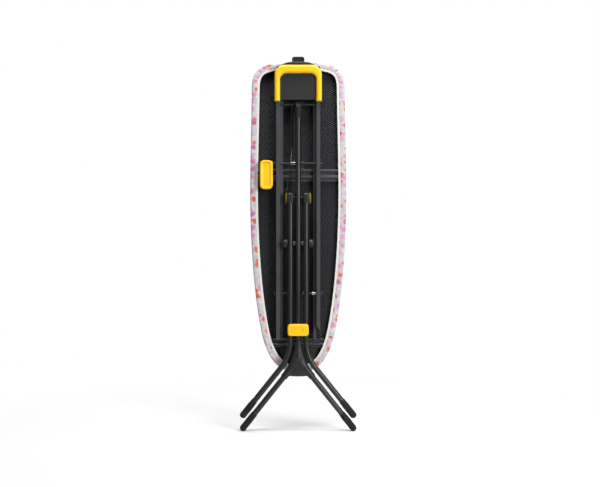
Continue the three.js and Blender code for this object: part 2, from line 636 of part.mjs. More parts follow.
// ---- leg B: twin tubes on either side of leg A ----------------------------------------------------
/** A twin tube: straight past leg A, bent outwards, then along the splay into its foot. */
function legBTube() {
  const cornerZ = LEG_B_FOOT_Z + (FOOT_X - TWIN_X) / Math.tan(SPLAY);
  const tangent = TWIN_BEND_RADIUS * Math.tan(SPLAY / 2);
  const stations = [at(TWIN_X, LEG_DEPTH, TUBE_TOP.legB), at(TWIN_X, LEG_DEPTH, cornerZ + tangent)];
  const bendSteps = 5;
  for (let step = 1; step <= bendSteps; step += 1) {
    const angle = (SPLAY * step) / bendSteps;
    const x = TWIN_X + TWIN_BEND_RADIUS * (1 - Math.cos(angle));
    stations.push(at(x, LEG_DEPTH, cornerZ + tangent - TWIN_BEND_RADIUS * Math.sin(angle)));
  }
  const toe = at(FOOT_X, LEG_DEPTH, LEG_B_FOOT_Z);
  stations.push(toe.addScaledVector(FOOT_AXIS, FOOT_RADIUS - TOE - GAP));
  const tube = bentTube(LEG_RADIUS, LEG_WALL, stations, 16);
  return cut(tube,
    crossRod(SCISSOR_RADIUS + GAP, TWIN_X - 20, TWIN_X + 20, LEG_DEPTH, SCISSOR_Z),
    crossRod(ROD_RADIUS + GAP, TWIN_X - 20, TWIN_X + 20, ELBOW.depth, ELBOW.z));
}

/** The lug that closes a twin tube and reaches back to the elbow pin. */
function legBLug() {
  const { inner, outer, low, high, front, corner, eye } = LUG;
  const shape = new THREE.Shape();
  shape.moveTo(-front, low);
  shape.lineTo(-front, high - corner);
  shape.absarc(-front + corner, high - corner, corner, Math.PI, Math.PI / 2, true);
  shape.lineTo(-ELBOW.depth, high - 8);
  shape.absarc(-ELBOW.depth, ELBOW.z, eye, Math.PI / 2, -Math.PI / 2, true);
  shape.lineTo(-LEG_DEPTH + 8, low);
  const tubeTop = at(TWIN_X, LEG_DEPTH, TUBE_TOP.legB + GAP);
  const tubeHole = cylinder(LEG_RADIUS + GAP, at(TWIN_X, LEG_DEPTH, low - 10), tubeTop);
  const pinHole = crossRod(ROD_RADIUS + GAP, 0, outer + 20, ELBOW.depth, ELBOW.z);
  return cut(sidePlate(shape, inner, outer), tubeHole, pinHole);
}

function elbowPin() {
  return crossRod(ROD_RADIUS, LINK.outer + 0.5, DISC.inner - GAP, ELBOW.depth, ELBOW.z);
}

function elbowDisc() {
  const { inner, shoulder, outer, radius, outerRadius } = DISC;
  const rim = crossRod(radius, inner, shoulder, ELBOW.depth, ELBOW.z, 28);
  const face = cylinder(
    radius, at(shoulder - 0.1, ELBOW.depth, ELBOW.z), at(outer, ELBOW.depth, ELBOW.z), 28, outerRadius);
  return join(rim, face);
}

function scissorAxle() {
  return crossRod(SCISSOR_RADIUS, -SCISSOR_HALF, SCISSOR_HALF, LEG_DEPTH, SCISSOR_Z);
}

function scissorSpacer() {
  const ring = crossRod(SPACER_RADIUS, LEG_RADIUS + GAP, TWIN_X - LEG_RADIUS - GAP, LEG_DEPTH, SCISSOR_Z);
  return cut(ring, crossRod(SCISSOR_RADIUS + GAP, 0, TWIN_X, LEG_DEPTH, SCISSOR_Z));
}

/** The rounded cap that holds a twin tube on the end of the scissor axle. */
function scissorCap() {
  const { radius, shoulder, end, endRadius } = SCISSOR_CAP;
  const barrel = crossRod(radius, TWIN_X + LEG_RADIUS + GAP, shoulder, LEG_DEPTH, SCISSOR_Z, 20);
  const from = at(shoulder, LEG_DEPTH, SCISSOR_Z);
  const dome = cylinder(radius, from, at(end, LEG_DEPTH, SCISSOR_Z), 20, endRadius);
  const hole = crossRod(SCISSOR_RADIUS + GAP, TWIN_X, SCISSOR_HALF + GAP, LEG_DEPTH, SCISSOR_Z);
  return cut(join(barrel, dome), hole);
}

/** The leg lock: a moulded bridge that holds both twin tubes and reaches across leg A. */
function legLock() {
  const { halfWidth, low, high, back, front } = LOCK;
  const face = frontPlate(roundedRectangle(-halfWidth, halfWidth, low, high, 12), back, front, 5);
  const saddleStart = LEG_RADIUS + 2;
  const saddle = box(saddleStart, halfWidth, LEG_DEPTH + 4, back + 1, low + 5, high - 5);
  const tools = [-TWIN_X, TWIN_X].map((x) =>
    cylinder(LEG_RADIUS + GAP, at(x, LEG_DEPTH, low - THROUGH), at(x, LEG_DEPTH, high + THROUGH)));
  const middle = (low + high) / 2;
  const half = LOCK_WELL.halfWidth;
  const rise = LOCK_WELL.halfHeight;
  const outline = roundedRectangle(-half, half, middle - rise, middle + rise, 8);
  const well = frontPlate(outline, LOCK_WELL.back, front + THROUGH, 5);
  return cut(join(face, saddle, mirrored(saddle)), ...tools, well);
}

function lockButton() {
  const middle = (LOCK.low + LOCK.high) / 2;
  const half = LOCK_WELL.halfWidth - GAP;
  const rise = LOCK_WELL.halfHeight - GAP;
  const outline = roundedRectangle(-half, half, middle - rise, middle + rise, rise - 0.1);
  return frontPlate(outline, LOCK_BUTTON_BACK, LOCK_BUTTON_FRONT, 5);
}

// ---- upper link: two bars and a tie behind leg A -----------------------------------------------------
function linkBar() {
  const low = new THREE.Vector2(-ROD_DEPTH, LOWER_ROD_Z);
  const high = new THREE.Vector2(-ELBOW.depth, ELBOW.z);
  const along = new THREE.Vector2().subVectors(high, low).angle();
  const shape = new THREE.Shape();
  shape.absarc(low.x, low.y, LINK.eye, along + Math.PI / 2, along + Math.PI * 1.5);
  shape.absarc(high.x, high.y, LINK.eye, along - Math.PI / 2, along + Math.PI / 2);
  for (const centre of [low, high]) {
    shape.holes.push(new THREE.Path(circlePoints(ROD_RADIUS + GAP, 14).map((point) => point.add(centre))));
  }
  return sidePlate(shape, LINK.inner, LINK.outer, 8);
}

function linkTie() {
  const { z, halfHeight, back, front } = TIE;
  const share = (z - LOWER_ROD_Z) / (ELBOW.z - LOWER_ROD_Z);
  const depth = ROD_DEPTH + share * (ELBOW.depth - ROD_DEPTH);
  const half = LINK.inner - GAP;
  return box(-half, half, depth - back, depth + front, z - halfHeight, z + halfHeight);
}

// ---- assembly ------------------------------------------------------------------------------------------
const board = new THREE.Group();
board.position.y = MIDDLE_DEPTH;

/** Adds one named piece with a material of its own. */
function add(name, geometry, finish) {
  const mesh = new THREE.Mesh(geometry, new THREE.MeshStandardMaterial(FINISHES[finish]));
  mesh.name = name;
  board.add(mesh);
}

/** Adds a piece and its mirror image. */
function addPair(name, right, finish) {
  add(`${name}_right`, right, finish);
  add(`${name}_left`, mirrored(right), finish);
}

addPair("frame_tube", frameTubeRight(), "charcoalSteel");
add("mesh_panel", meshPanel(), "meshSteel");
add("felt_pad", feltPad(), "felt");
add("cover", cover(), "cotton");
add("elastic_hem", elasticHem(), "hem");
add("mid_crossbeam", crossbeam(MID_BEAM), "railSteel");
add("nose_crossbeam", crossbeam(NOSE_BEAM), "railSteel");
add("nose_plate", nosePlate(), "blackPlastic");
add("heel_bracket", heelBracket(), "blackPlastic");
add("heel_moulding", heelMoulding(), "blackPlastic");
add("heel_tab", heelTab(), "blackPlastic");
add("guide_rail_right", cutRailRight(), "railSteel");
add("guide_rail_left", mirrored(railRight()), "railSteel");
add("heel_axle", heelAxle(), "charcoalSteel");
add("lower_rod", lowerRod(), "charcoalSteel");
addPair("lower_rod_cap", rodCap(LOWER_ROD_Z), "charcoalSteel");
add("lower_rod_collar", steppedCollar(), "zincSteel");
add("lower_rod_clip", collar(LINK.outer + GAP, 22, 7, LOWER_ROD_Z), "zincSteel");
add("spring_sleeve", springSleeve(), "blackPlastic");
add("spring_wire", springWire(), "zincSteel");

add("iron_rest_rim", ironRestRim(), "yellowPlastic");
add("iron_rest_plate", ironRestPlate(), "blackPlastic");
addPair("iron_rest_runner", runnerRight(), "charcoalSteel");

add("release_lever", releaseLever(), "yellowPlastic");
add("lever_rod", leverRod(), "charcoalSteel");
add("lever_rod_cap", rodCap(LEVER_ROD_Z), "charcoalSteel");
add("lever_spring", collar(-32, -10, 7.5, LEVER_ROD_Z), "zincSteel");
add("latch_pawl", latchPawl(), "charcoalSteel");
add("pull_wire", pullWire(), "zincSteel");

add("leg_a_tube", legATube(), "charcoalSteel");
add("leg_a_bracket", legABracket(), "blackPlastic");
add("leg_a_knuckle", legAKnuckle(), "blackPlastic");
addPair("leg_a_foot_tube", legAFootTube(), "charcoalSteel");
addPair("leg_a_foot", rubberFoot(LEG_A_FOOT_Z), "rubber");

addPair("leg_b_tube", legBTube(), "charcoalSteel");
addPair("leg_b_lug", legBLug(), "blackPlastic");
addPair("elbow_pin", elbowPin(), "charcoalSteel");
addPair("elbow_disc", elbowDisc(), "yellowPlastic");
add("scissor_axle", scissorAxle(), "charcoalSteel");
addPair("scissor_spacer", scissorSpacer(), "charcoalSteel");
addPair("scissor_cap", scissorCap(), "blackPlastic");
addPair("leg_b_foot", rubberFoot(LEG_B_FOOT_Z), "rubber");
add("leg_lock", legLock(), "yellowPlastic");
add("lock_button", lockButton(), "yellowPlastic");

addPair("link_bar", linkBar(), "charcoalSteel");
add("link_tie", linkTie(), "charcoalSteel");

export default board;
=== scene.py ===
"""A folding ironing board, folded flat and standing on its two longer feet, dressed around its frame.

The object stands in the frame's own axes: +Z up, +X to the right, the ironing face towards +Y and the
legs on the -Y side. Lengths are in metres; a size written in millimetres is multiplied by MM.
"""

import logging
import math
from dataclasses import dataclass
from enum import Enum
from typing import Iterable, Optional, Sequence, Union

import bmesh
import bpy
from mathutils import Matrix, Vector


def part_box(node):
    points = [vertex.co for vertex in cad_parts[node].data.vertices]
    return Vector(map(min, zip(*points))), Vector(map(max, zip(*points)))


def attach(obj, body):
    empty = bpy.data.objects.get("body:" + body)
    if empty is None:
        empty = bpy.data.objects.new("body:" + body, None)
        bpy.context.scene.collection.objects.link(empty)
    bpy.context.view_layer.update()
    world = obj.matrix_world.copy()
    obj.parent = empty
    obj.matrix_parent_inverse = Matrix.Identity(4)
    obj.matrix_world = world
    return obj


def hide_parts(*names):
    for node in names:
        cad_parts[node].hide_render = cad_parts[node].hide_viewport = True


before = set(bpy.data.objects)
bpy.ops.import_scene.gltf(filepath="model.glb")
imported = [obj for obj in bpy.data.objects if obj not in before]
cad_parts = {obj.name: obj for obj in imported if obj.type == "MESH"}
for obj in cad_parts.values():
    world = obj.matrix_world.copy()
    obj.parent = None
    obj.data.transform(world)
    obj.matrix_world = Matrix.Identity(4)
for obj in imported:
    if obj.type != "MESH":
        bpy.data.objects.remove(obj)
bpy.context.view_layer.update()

MM = 0.001
UP = Vector((0, 0, 1))
ACROSS = Vector((1, 0, 0))
ONWARD = Vector((0, 1, 0))
LOG = logging.getLogger("ironing_board")

Point = Union[Vector, tuple[float, float, float]]
Outline = Sequence[tuple[float, float]]
Shape = bmesh.types.BMesh
Tree = bpy.types.NodeTree
Node = bpy.types.Node
Socket = bpy.types.NodeSocket


# ---- places taken from the frame -------------------------------------------------------------
@dataclass(frozen=True)
class Span:
    """Where a CAD node lies at rest."""

    low: Vector
    high: Vector

    @classmethod
    def of(cls, node: str) -> "Span":
        """Reads a node's lowest and highest corners."""
        low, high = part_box(node)
        return cls(low, high)

    @property
    def centre(self) -> Vector:
        """The middle of the node's box."""
        return (self.low + self.high) / 2

    @property
    def size(self) -> Vector:
        """The node's extent along each axis."""
        return self.high - self.low

    @property
    def left_end(self) -> Vector:
        """The middle of the node's face towards -X, where a piece turned along X starts."""
        return Vector((self.low.x, self.centre.y, self.centre.z))


BED_Y = Span.of("mesh_panel").low.y  # the leg side of the mesh: depths count from here towards -Y
SIDES = {"right": 1, "left": -1}


def at(x: float, depth: float, z: float) -> Vector:
    """A place from millimetres across, of depth below the mesh, and of height."""
    return Vector((x * MM, BED_Y - depth * MM, z * MM))


# ---- mesh building ---------------------------------------------------------------------------
def extrude_ring(mesh: Shape, ring: list, places: Sequence[Point]) -> list:
    """Extrudes a closed ring of vertices to new places.

    Args:
        mesh: The mesh that holds the ring.
        ring: The ring's vertices, in order.
        places: One new place for each vertex.

    Returns:
        The new ring's vertices, in the same order.
    """
    edges = [mesh.edges.get((a, b)) for a, b in zip(ring, ring[1:] + ring[:1])]
    made = bmesh.ops.extrude_edge_only(mesh, edges=edges)["geom"]
    fresh = {item for item in made if isinstance(item, bmesh.types.BMVert)}
    new_ring = []
    for vert, place in zip(ring, places):
        twin = next(edge.other_vert(vert) for edge in vert.link_edges if edge.other_vert(vert) in fresh)
        twin.co = place
        new_ring.append(twin)
    return new_ring


def loft(rings: Sequence[Sequence[Point]], caps: bool = True) -> Shape:
    """Builds a skin through closed rings that hold the same number of places.

    Args:
        rings: The rings, from one end of the piece to the other.
        caps: Whether the two ends are closed.

    Returns:
        The new mesh, with its faces pointing out.
    """
    mesh = bmesh.new()
    first = [mesh.verts.new(place) for place in rings[0]]
    for a, b in zip(first, first[1:] + first[:1]):
        mesh.edges.new((a, b))
    ring = first
    for places in rings[1:]:
        ring = extrude_ring(mesh, ring, places)
    if caps:
        mesh.faces.new(first)
        mesh.faces.new(ring)
    bmesh.ops.recalc_face_normals(mesh, faces=mesh.faces[:])
    return mesh


def circle(radius: float, count: int) -> Outline:
    """The corners of a regular polygon around the origin."""
    turns = [2 * math.pi * index / count for index in range(count)]
    return [(radius * math.cos(turn), radius * math.sin(turn)) for turn in turns]


def arc(centre: tuple[float, float], radius: float, start: float, stop: float, steps: int) -> Outline:
    """Points along an arc, both ends included; the angles are in quarter turns."""
    turns = [math.pi / 2 * (start + (stop - start) * step / steps) for step in range(steps + 1)]
    return [(centre[0] + radius * math.cos(turn), centre[1] + radius * math.sin(turn)) for turn in turns]


def sweep(path: Sequence[Vector], section: Outline, hint: Vector = UP) -> Shape:
    """Carries a section along an open path, turning as little as it can.

    Args:
        path: The places the section passes through.
        section: The section's corners, across and along the hint direction.
        hint: A direction that the section's second axis starts near.

    Returns:
        A closed mesh.
    """
    rings = []
    normal = Vector(hint)
    for index, place in enumerate(path):
        ahead = path[min(index + 1, len(path) - 1)]
        behind = path[max(index - 1, 0)]
        tangent = (ahead - behind).normalized()
        normal = (normal - tangent * normal.dot(tangent)).normalized()
        across = normal.cross(tangent)
        rings.append([place + across * x + normal * y for x, y in section])
    return loft(rings)


def lathe(profile: Outline, origin: Point, axis: Vector, steps: int = 40) -> Shape:
    """Spins a profile of (radius, distance along the axis) into a closed turned shape.

    Args:
        profile: The profile's points, which start and end on the axis or meet each other.
        origin: The point on the axis where the distance is zero.
        axis: The direction of the axis.
        steps: How many faces go round.

    Returns:
        The new mesh.
    """
    mesh = bmesh.new()
    verts = [mesh.verts.new((radius, 0, along)) for radius, along in profile]
    edges = [mesh.edges.new(pair) for pair in zip(verts, verts[1:])]
    if profile[0][0] > 0:
        edges.append(mesh.edges.new((verts[-1], verts[0])))
    whole_turn = {"cent": (0, 0, 0), "axis": (0, 0, 1), "angle": 2 * math.pi, "use_merge": True}
    bmesh.ops.spin(mesh, geom=verts + edges, steps=steps, **whole_turn)
    bmesh.ops.remove_doubles(mesh, verts=mesh.verts[:], dist=1e-6)
    bmesh.ops.recalc_face_normals(mesh, faces=mesh.faces[:])
    turn = UP.rotation_difference(Vector(axis).normalized()).to_matrix().to_4x4()
    mesh.transform(Matrix.Translation(origin) @ turn)
    return mesh


def rounded_profile(radius: float, length: float, edge: float, steps: int = 4) -> Outline:
    """A lathe profile for a cylinder with rounded rims, from (0, 0) to (0, length)."""
    quarter = [math.pi / 2 * step / steps for step in range(steps + 1)]
    lower = [(radius - edge + edge * math.sin(a), edge - edge * math.cos(a)) for a in quarter]
    upper = [(radius - edge + edge * math.cos(a), length - edge + edge * math.sin(a)) for a in quarter]
    return [(0, 0), *lower, *upper, (0, length)]


def bored_profile(radius: float, bore: float, length: float, edge: float) -> Outline:
    """A lathe profile for a ring with rounded rims round a straight hole."""
    return [(bore, 0), *rounded_profile(radius, length, edge)[1:-1], (bore, length)]


def inset(points: Outline, distance: float) -> Outline:
    """Moves a closed outline inwards, with mitred corners.

    Args:
        points: The outline, anticlockwise.
        distance: How far each side moves in.
    """
    moved = []
    count = len(points)
    for index, (x, z) in enumerate(points):
        before, after = points[index - 1], points[(index + 1) % count]
        arriving = Vector((x - before[0], z - before[1])).normalized()
        leaving = Vector((after[0] - x, after[1] - z)).normalized()
        inwards = Vector((-arriving.y - leaving.y, arriving.x + leaving.x)).normalized()
        spread = max(inwards.dot(Vector((-arriving.y, arriving.x))), 0.3)
        moved.append((x + inwards.x * distance / spread, z + inwards.y * distance / spread))
    return moved


def rounded_rectangle(
    left: float, right: float, low: float, high: float, radius: float, steps: int = 8
) -> Outline:
    """An anticlockwise rectangle with round corners, each drawn with the given number of steps."""
    corners = [(right - radius, low + radius), (right - radius, high - radius)]
    corners += [(left + radius, high - radius), (left + radius, low + radius)]
    points = []
    for index, corner in enumerate(corners):
        points += arc(corner, radius, index - 1, index, steps)
    return points


def rounded_rims(
    outline: Outline, back: float, front: float, round_back: float, round_front: float, steps: tuple[int, int]
) -> list[list[Point]]:
    """Rings round a plate's two rims, from the face towards the bed to the face towards the viewer.

    Args:
        outline: The anticlockwise outline in X and Z.
        back: The Y of the face towards the bed.
        front: The Y of the face towards the viewer, which is smaller.
        round_back: The radius of the rim towards the bed.
        round_front: The radius of the rim towards the viewer.
        steps: How many steps each rim is rounded with.
    """
    rings = []
    for step in range(steps[0] + 1):
        turn = math.pi / 2 * step / steps[0]
        shrunk = inset(outline, round_back * (1 - math.sin(turn)))
        rings.append([(x, back - round_back * (1 - math.cos(turn)), z) for x, z in shrunk])
    for step in range(steps[1] + 1):
        turn = math.pi / 2 * step / steps[1]
        shrunk = inset(outline, round_front * (1 - math.cos(turn)))
        rings.append([(x, front + round_front * (1 - math.sin(turn)), z) for x, z in shrunk])
    return rings


def plate(
    outline: Outline, back: float, front: float, round_back: float, round_front: float, steps: int = 5
) -> Shape:
    """A flat plate in the plane of X and Z with rounded rims; the sizes are those of rounded_rims."""
    return loft(rounded_rims(outline, back, front, round_back, round_front, (steps, steps)))


def dished_plate(
    outline: Outline, back: float, front: float, rim: float, border: float, dish: float
) -> Shape:
    """A plate whose front face sinks smoothly inside a border.

    Args:
        outline: The anticlockwise outline in X and Z.
        back: The Y of the face towards the bed.
        front: The Y of the border's face.
        rim: The radius that both rims are rounded with.
        border: How wide the raised border is.
        dish: How deep the middle sinks.
    """
    rings = rounded_rims(outline, back, front, rim, rim, (4, 5))
    for step in range(1, 7):
        share = step / 6
        sunk = dish * (0.5 - 0.5 * math.cos(math.pi * share))
        rings.append([(x, front + sunk, z) for x, z in inset(outline, rim + border * share)])
    return loft(rings)


def merge_into(target: Shape, piece: Shape) -> None:
    """Adds a piece's geometry to another mesh and frees the piece."""
    carrier = bpy.data.meshes.new("carrier")
    piece.to_mesh(carrier)
    piece.free()
    target.from_mesh(carrier)
    bpy.data.meshes.remove(carrier)


def joined(*pieces: Shape) -> Shape:
    """One mesh with the geometry of several."""
    whole = bmesh.new()
    for piece in pieces:
        merge_into(whole, piece)
    return whole


def mirrored(mesh: Shape, side: int) -> Shape:
    """The mesh itself for the right side, or its mirror image for the left."""
    if side < 0:
        mesh.transform(Matrix.Scale(-1, 4, ACROSS))
        bmesh.ops.reverse_faces(mesh, faces=mesh.faces[:])
    return mesh


# ---- materials -------------------------------------------------------------------------------
def linear(colour: str) -> tuple[float, float, float, float]:
    """Turns an sRGB hex colour into linear red, green, blue and a full alpha."""
    parts = [int(colour[index : index + 2], 16) / 255 for index in (1, 3, 5)]
    red, green, blue = (p / 12.92 if p <= 0.04045 else ((p + 0.055) / 1.055) ** 2.4 for p in parts)
    return red, green, blue, 1.0


def add_node(tree: Tree, kind: str, inputs: Optional[dict] = None, **settings: object) -> Node:
    """Adds a node, sets its properties, and sets or links its inputs.

    Args:
        tree: The node tree.
        kind: The node's type, without its leading ShaderNode.
        inputs: Values or output sockets, by the input's name or number.
        **settings: The node's own properties.

    Returns:
        The new node.
    """
    made = tree.nodes.new("ShaderNode" + kind)
    for name, value in settings.items():
        setattr(made, name, value)
    for name, value in (inputs or {}).items():
        if isinstance(value, Socket):
            tree.links.new(value, made.inputs[name])
        else:
            made.inputs[name].default_value = value
    return made


def add_ramp(tree: Tree, factor: Socket, stops: Sequence[tuple[float, str]]) -> Socket:
    """Adds a colour ramp with sRGB stops and returns its colour output."""
    made = add_node(tree, "ValToRGB", {"Fac": factor})
    elements = made.color_ramp.elements
    for index, (place, colour) in enumerate(stops):
        element = elements[index] if index < 2 else elements.new(place)
        element.position = place
        element.color = linear(colour)
    return made.outputs["Color"]


def add_noise(tree: Tree, place: Socket, grain: float, detail: float = 3.0) -> Socket:
    """Adds a noise whose patches are about as wide as the grain, in millimetres, and returns its value."""
    made = add_node(tree, "TexNoise", {"Vector": place, "Scale": 1 / (grain * MM), "Detail": detail})
    return made.outputs["Fac"]


def add_range(tree: Tree, value: Socket, low: float, high: float, to_low: float, to_high: float) -> Socket:
    """Stretches a value from one range to another and returns it."""
    inputs = {"Value": value, "From Min": low, "From Max": high, "To Min": to_low, "To Max": to_high}
    return add_node(tree, "MapRange", inputs).outputs["Result"]


def add_math(tree: Tree, operation: str, first: Socket, second: Union[Socket, float] = 0.0) -> Socket:
    """Adds a sum of two values, or of one, and returns its result."""
    return add_node(tree, "Math", {0: first, 1: second}, operation=operation).outputs[0]


def add_vector(tree: Tree, operation: str, first: Socket, second: object) -> Socket:
    """Adds a vector operation on two vectors and returns its result."""
    return add_node(tree, "VectorMath", {0: first, 1: second}, operation=operation).outputs[0]


def add_mix(tree: Tree, factor: Union[Socket, float], first: object, second: object) -> Socket:
    """Mixes two colours, given as sRGB hex or as sockets, and returns the colour."""
    first, second = (linear(colour) if isinstance(colour, str) else colour for colour in (first, second))
    made = add_node(tree, "Mix", {"Factor": factor, 6: first, 7: second}, data_type="RGBA")
    return made.outputs[2]


def add_bump(tree: Tree, height: Socket, depth: float, under: Optional[Socket] = None) -> Socket:
    """Adds a bump of a real depth in millimetres, on top of another, and returns its normal."""
    inputs = {"Height": height, "Distance": depth * MM, "Strength": 1.0}
    if under is not None:
        inputs["Normal"] = under
    return add_node(tree, "Bump", inputs).outputs["Normal"]


class Slot(Enum):
    """The record's material slots that new pieces take their finish from."""

    CHARCOAL = "charcoal_steel"
    RAIL = "rail_steel"
    MESH = "mesh_steel"
    ZINC = "zinc_steel"
    YELLOW = "yellow_plastic"
    BLACK = "black_plastic"
    RUBBER = "rubber"
    FELT = "felt"
    COTTON = "cotton_print"
    HEM = "hem_binding"


@dataclass(frozen=True)
class Finish:
    """What a surface is made of; each kind dresses its own shader."""

    name: str
    slot: Slot

    def material(self) -> bpy.types.Material:
        """The Blender material, made once and then shared."""
        made = bpy.data.materials.get(self.name)
        if made is None:
            made = bpy.data.materials.new(self.name)
            made.use_nodes = True
            made.node_tree.nodes.clear()
            shader = add_node(made.node_tree, "BsdfPrincipled")
            add_node(made.node_tree, "OutputMaterial", {"Surface": shader.outputs["BSDF"]})
            self.dress(made.node_tree, shader)
        return made

    def dress(self, tree: Tree, shader: Node) -> None:
        """Sets and links the shader's sockets."""
        raise NotImplementedError

    def link(self, tree: Tree, shader: Node, **sockets: Socket) -> None:
        """Links sockets to the shader's inputs, where an underscore in a name stands for a space."""
        for name, socket in sockets.items():
            tree.links.new(socket, shader.inputs[name.replace("_", " ")])


@dataclass(frozen=True)
class PowderCoat(Finish):
    """Polyester powder baked on steel: satin, with a fine orange peel and a little handling wear."""

    colour: str
    rubbed: str
    roughness: float = 0.4
    peel: float = 2.6

    def dress(self, tree: Tree, shader: Node) -> None:
        """Clouds the colour, varies the gloss and adds the orange peel."""
        place = add_node(tree, "TexCoord").outputs["Object"]
        # The real peel is about 1 mm across: it is drawn a little coarser so that it shows.
        peel = add_noise(tree, place, self.peel, 2.0)
        cloud = add_noise(tree, place, 70)
        rubs = add_range(tree, add_noise(tree, place, 14, 6.0), 0.62, 0.8, 0.0, 0.55)
        clouded = add_mix(tree, add_range(tree, cloud, 0.3, 0.7, 0.0, 0.35), self.colour, self.rubbed)
        self.link(
            tree, shader,
            Base_Color=add_mix(tree, rubs, clouded, self.rubbed),
            Roughness=add_range(tree, cloud, 0.25, 0.75, self.roughness - 0.05, self.roughness + 0.08),
            Normal=add_bump(tree, peel, 0.014),
        )
        shader.inputs["IOR"].default_value = 1.5


@dataclass(frozen=True)
class MouldedPlastic(Finish):
    """Injection-moulded polypropylene: an even colour with a spark-eroded grain and soft scuffs."""

    colour: str
    shade: str
    roughness: float = 0.38
    grain: float = 1.1
    depth: float = 0.016

    def dress(self, tree: Tree, shader: Node) -> None:
        """Drifts the colour slightly, scuffs the gloss and adds the mould's grain."""
        place = add_node(tree, "TexCoord").outputs["Object"]
        drift = add_noise(tree, place, 45)
        scuff = add_noise(tree, place, 9, 7.0)
        # The grain is about 0.3 mm on the real surface: it is drawn coarser so that it shows.
        grain = add_noise(tree, place, self.grain, 1.0)
        self.link(
            tree, shader,
            Base_Color=add_mix(tree, add_range(tree, drift, 0.3, 0.7, 0.0, 1.0), self.colour, self.shade),
            Roughness=add_range(tree, scuff, 0.35, 0.75, self.roughness, self.roughness + 0.16),
            Normal=add_bump(tree, grain, self.depth),
        )
        shader.inputs["IOR"].default_value = 1.49


@dataclass(frozen=True)
class SoftRubber(Finish):
    """Moulded thermoplastic rubber: matt, with a dry bloom and floor dust on it."""

    colour: str = "#0f1011"
    dust: str = "#2b2a28"

    def dress(self, tree: Tree, shader: Node) -> None:
        """Adds the bloom, the dust and a pebbled skin."""
        place = add_node(tree, "TexCoord").outputs["Object"]
        bloom = add_noise(tree, place, 18, 6.0)
        pebble = add_noise(tree, place, 1.6, 2.0)
        self.link(
            tree, shader,
            Base_Color=add_mix(tree, add_range(tree, bloom, 0.5, 0.85, 0.0, 0.5), self.colour, self.dust),
            Roughness=add_range(tree, bloom, 0.3, 0.7, 0.62, 0.85),
            Normal=add_bump(tree, pebble, 0.04),
        )
        shader.inputs["Specular IOR Level"].default_value = 0.35


@dataclass(frozen=True)
class ZincPlate(Finish):
    """Bright zinc plating on drawn steel: silvery, with faint drawing lines and a cloudy passivation."""

    colour: str = "#c9cccf"
    tint: str = "#a9a597"

    def dress(self, tree: Tree, shader: Node) -> None:
        """Makes the surface metal and clouds its tint and gloss."""
        place = add_node(tree, "TexCoord").outputs["Object"]
        cloud = add_noise(tree, place, 8, 4.0)
        drawn = add_noise(tree, place, 0.8, 2.0)
        self.link(
            tree, shader,
            Base_Color=add_mix(tree, add_range(tree, cloud, 0.35, 0.7, 0.0, 0.6), self.colour, self.tint),
            Roughness=add_range(tree, cloud, 0.3, 0.7, 0.2, 0.38),
            Normal=add_bump(tree, drawn, 0.01),
        )
        shader.inputs["Metallic"].default_value = 1.0


@dataclass(frozen=True)
class NeedledFelt(Finish):
    """Needle-punched polyester felt: dull and nearly black, so that the mesh's openings look dark, with
    tangled fibres lying on it.
    """

    colour: str = "#131417"
    fibre: str = "#26272c"

    def dress(self, tree: Tree, shader: Node) -> None:
        """Draws the tangle of fibres in colour and height."""
        place = add_node(tree, "TexCoord").outputs["Object"]
        tangle = add_noise(tree, place, 3.0, 8.0)
        self.link(
            tree, shader,
            Base_Color=add_mix(tree, add_range(tree, tangle, 0.4, 0.65, 0.0, 1.0), self.colour, self.fibre),
            Normal=add_bump(tree, tangle, 0.4),
        )
        shader.inputs["Roughness"].default_value = 0.98
        shader.inputs["Specular IOR Level"].default_value = 0.15


def weave_height(tree: Tree, flat: Socket, thread: float) -> Socket:
    """The height of a plain weave on flat cloth coordinates, from its thread spacing in millimetres."""
    axes = add_node(tree, "SeparateXYZ", {"Vector": flat})
    turns = 2 * math.pi / (thread * MM)
    warp = add_math(tree, "SINE", add_math(tree, "MULTIPLY", axes.outputs["X"], turns))
    weft = add_math(tree, "SINE", add_math(tree, "MULTIPLY", axes.outputs["Y"], turns))
    return add_math(tree, "MULTIPLY", warp, weft)


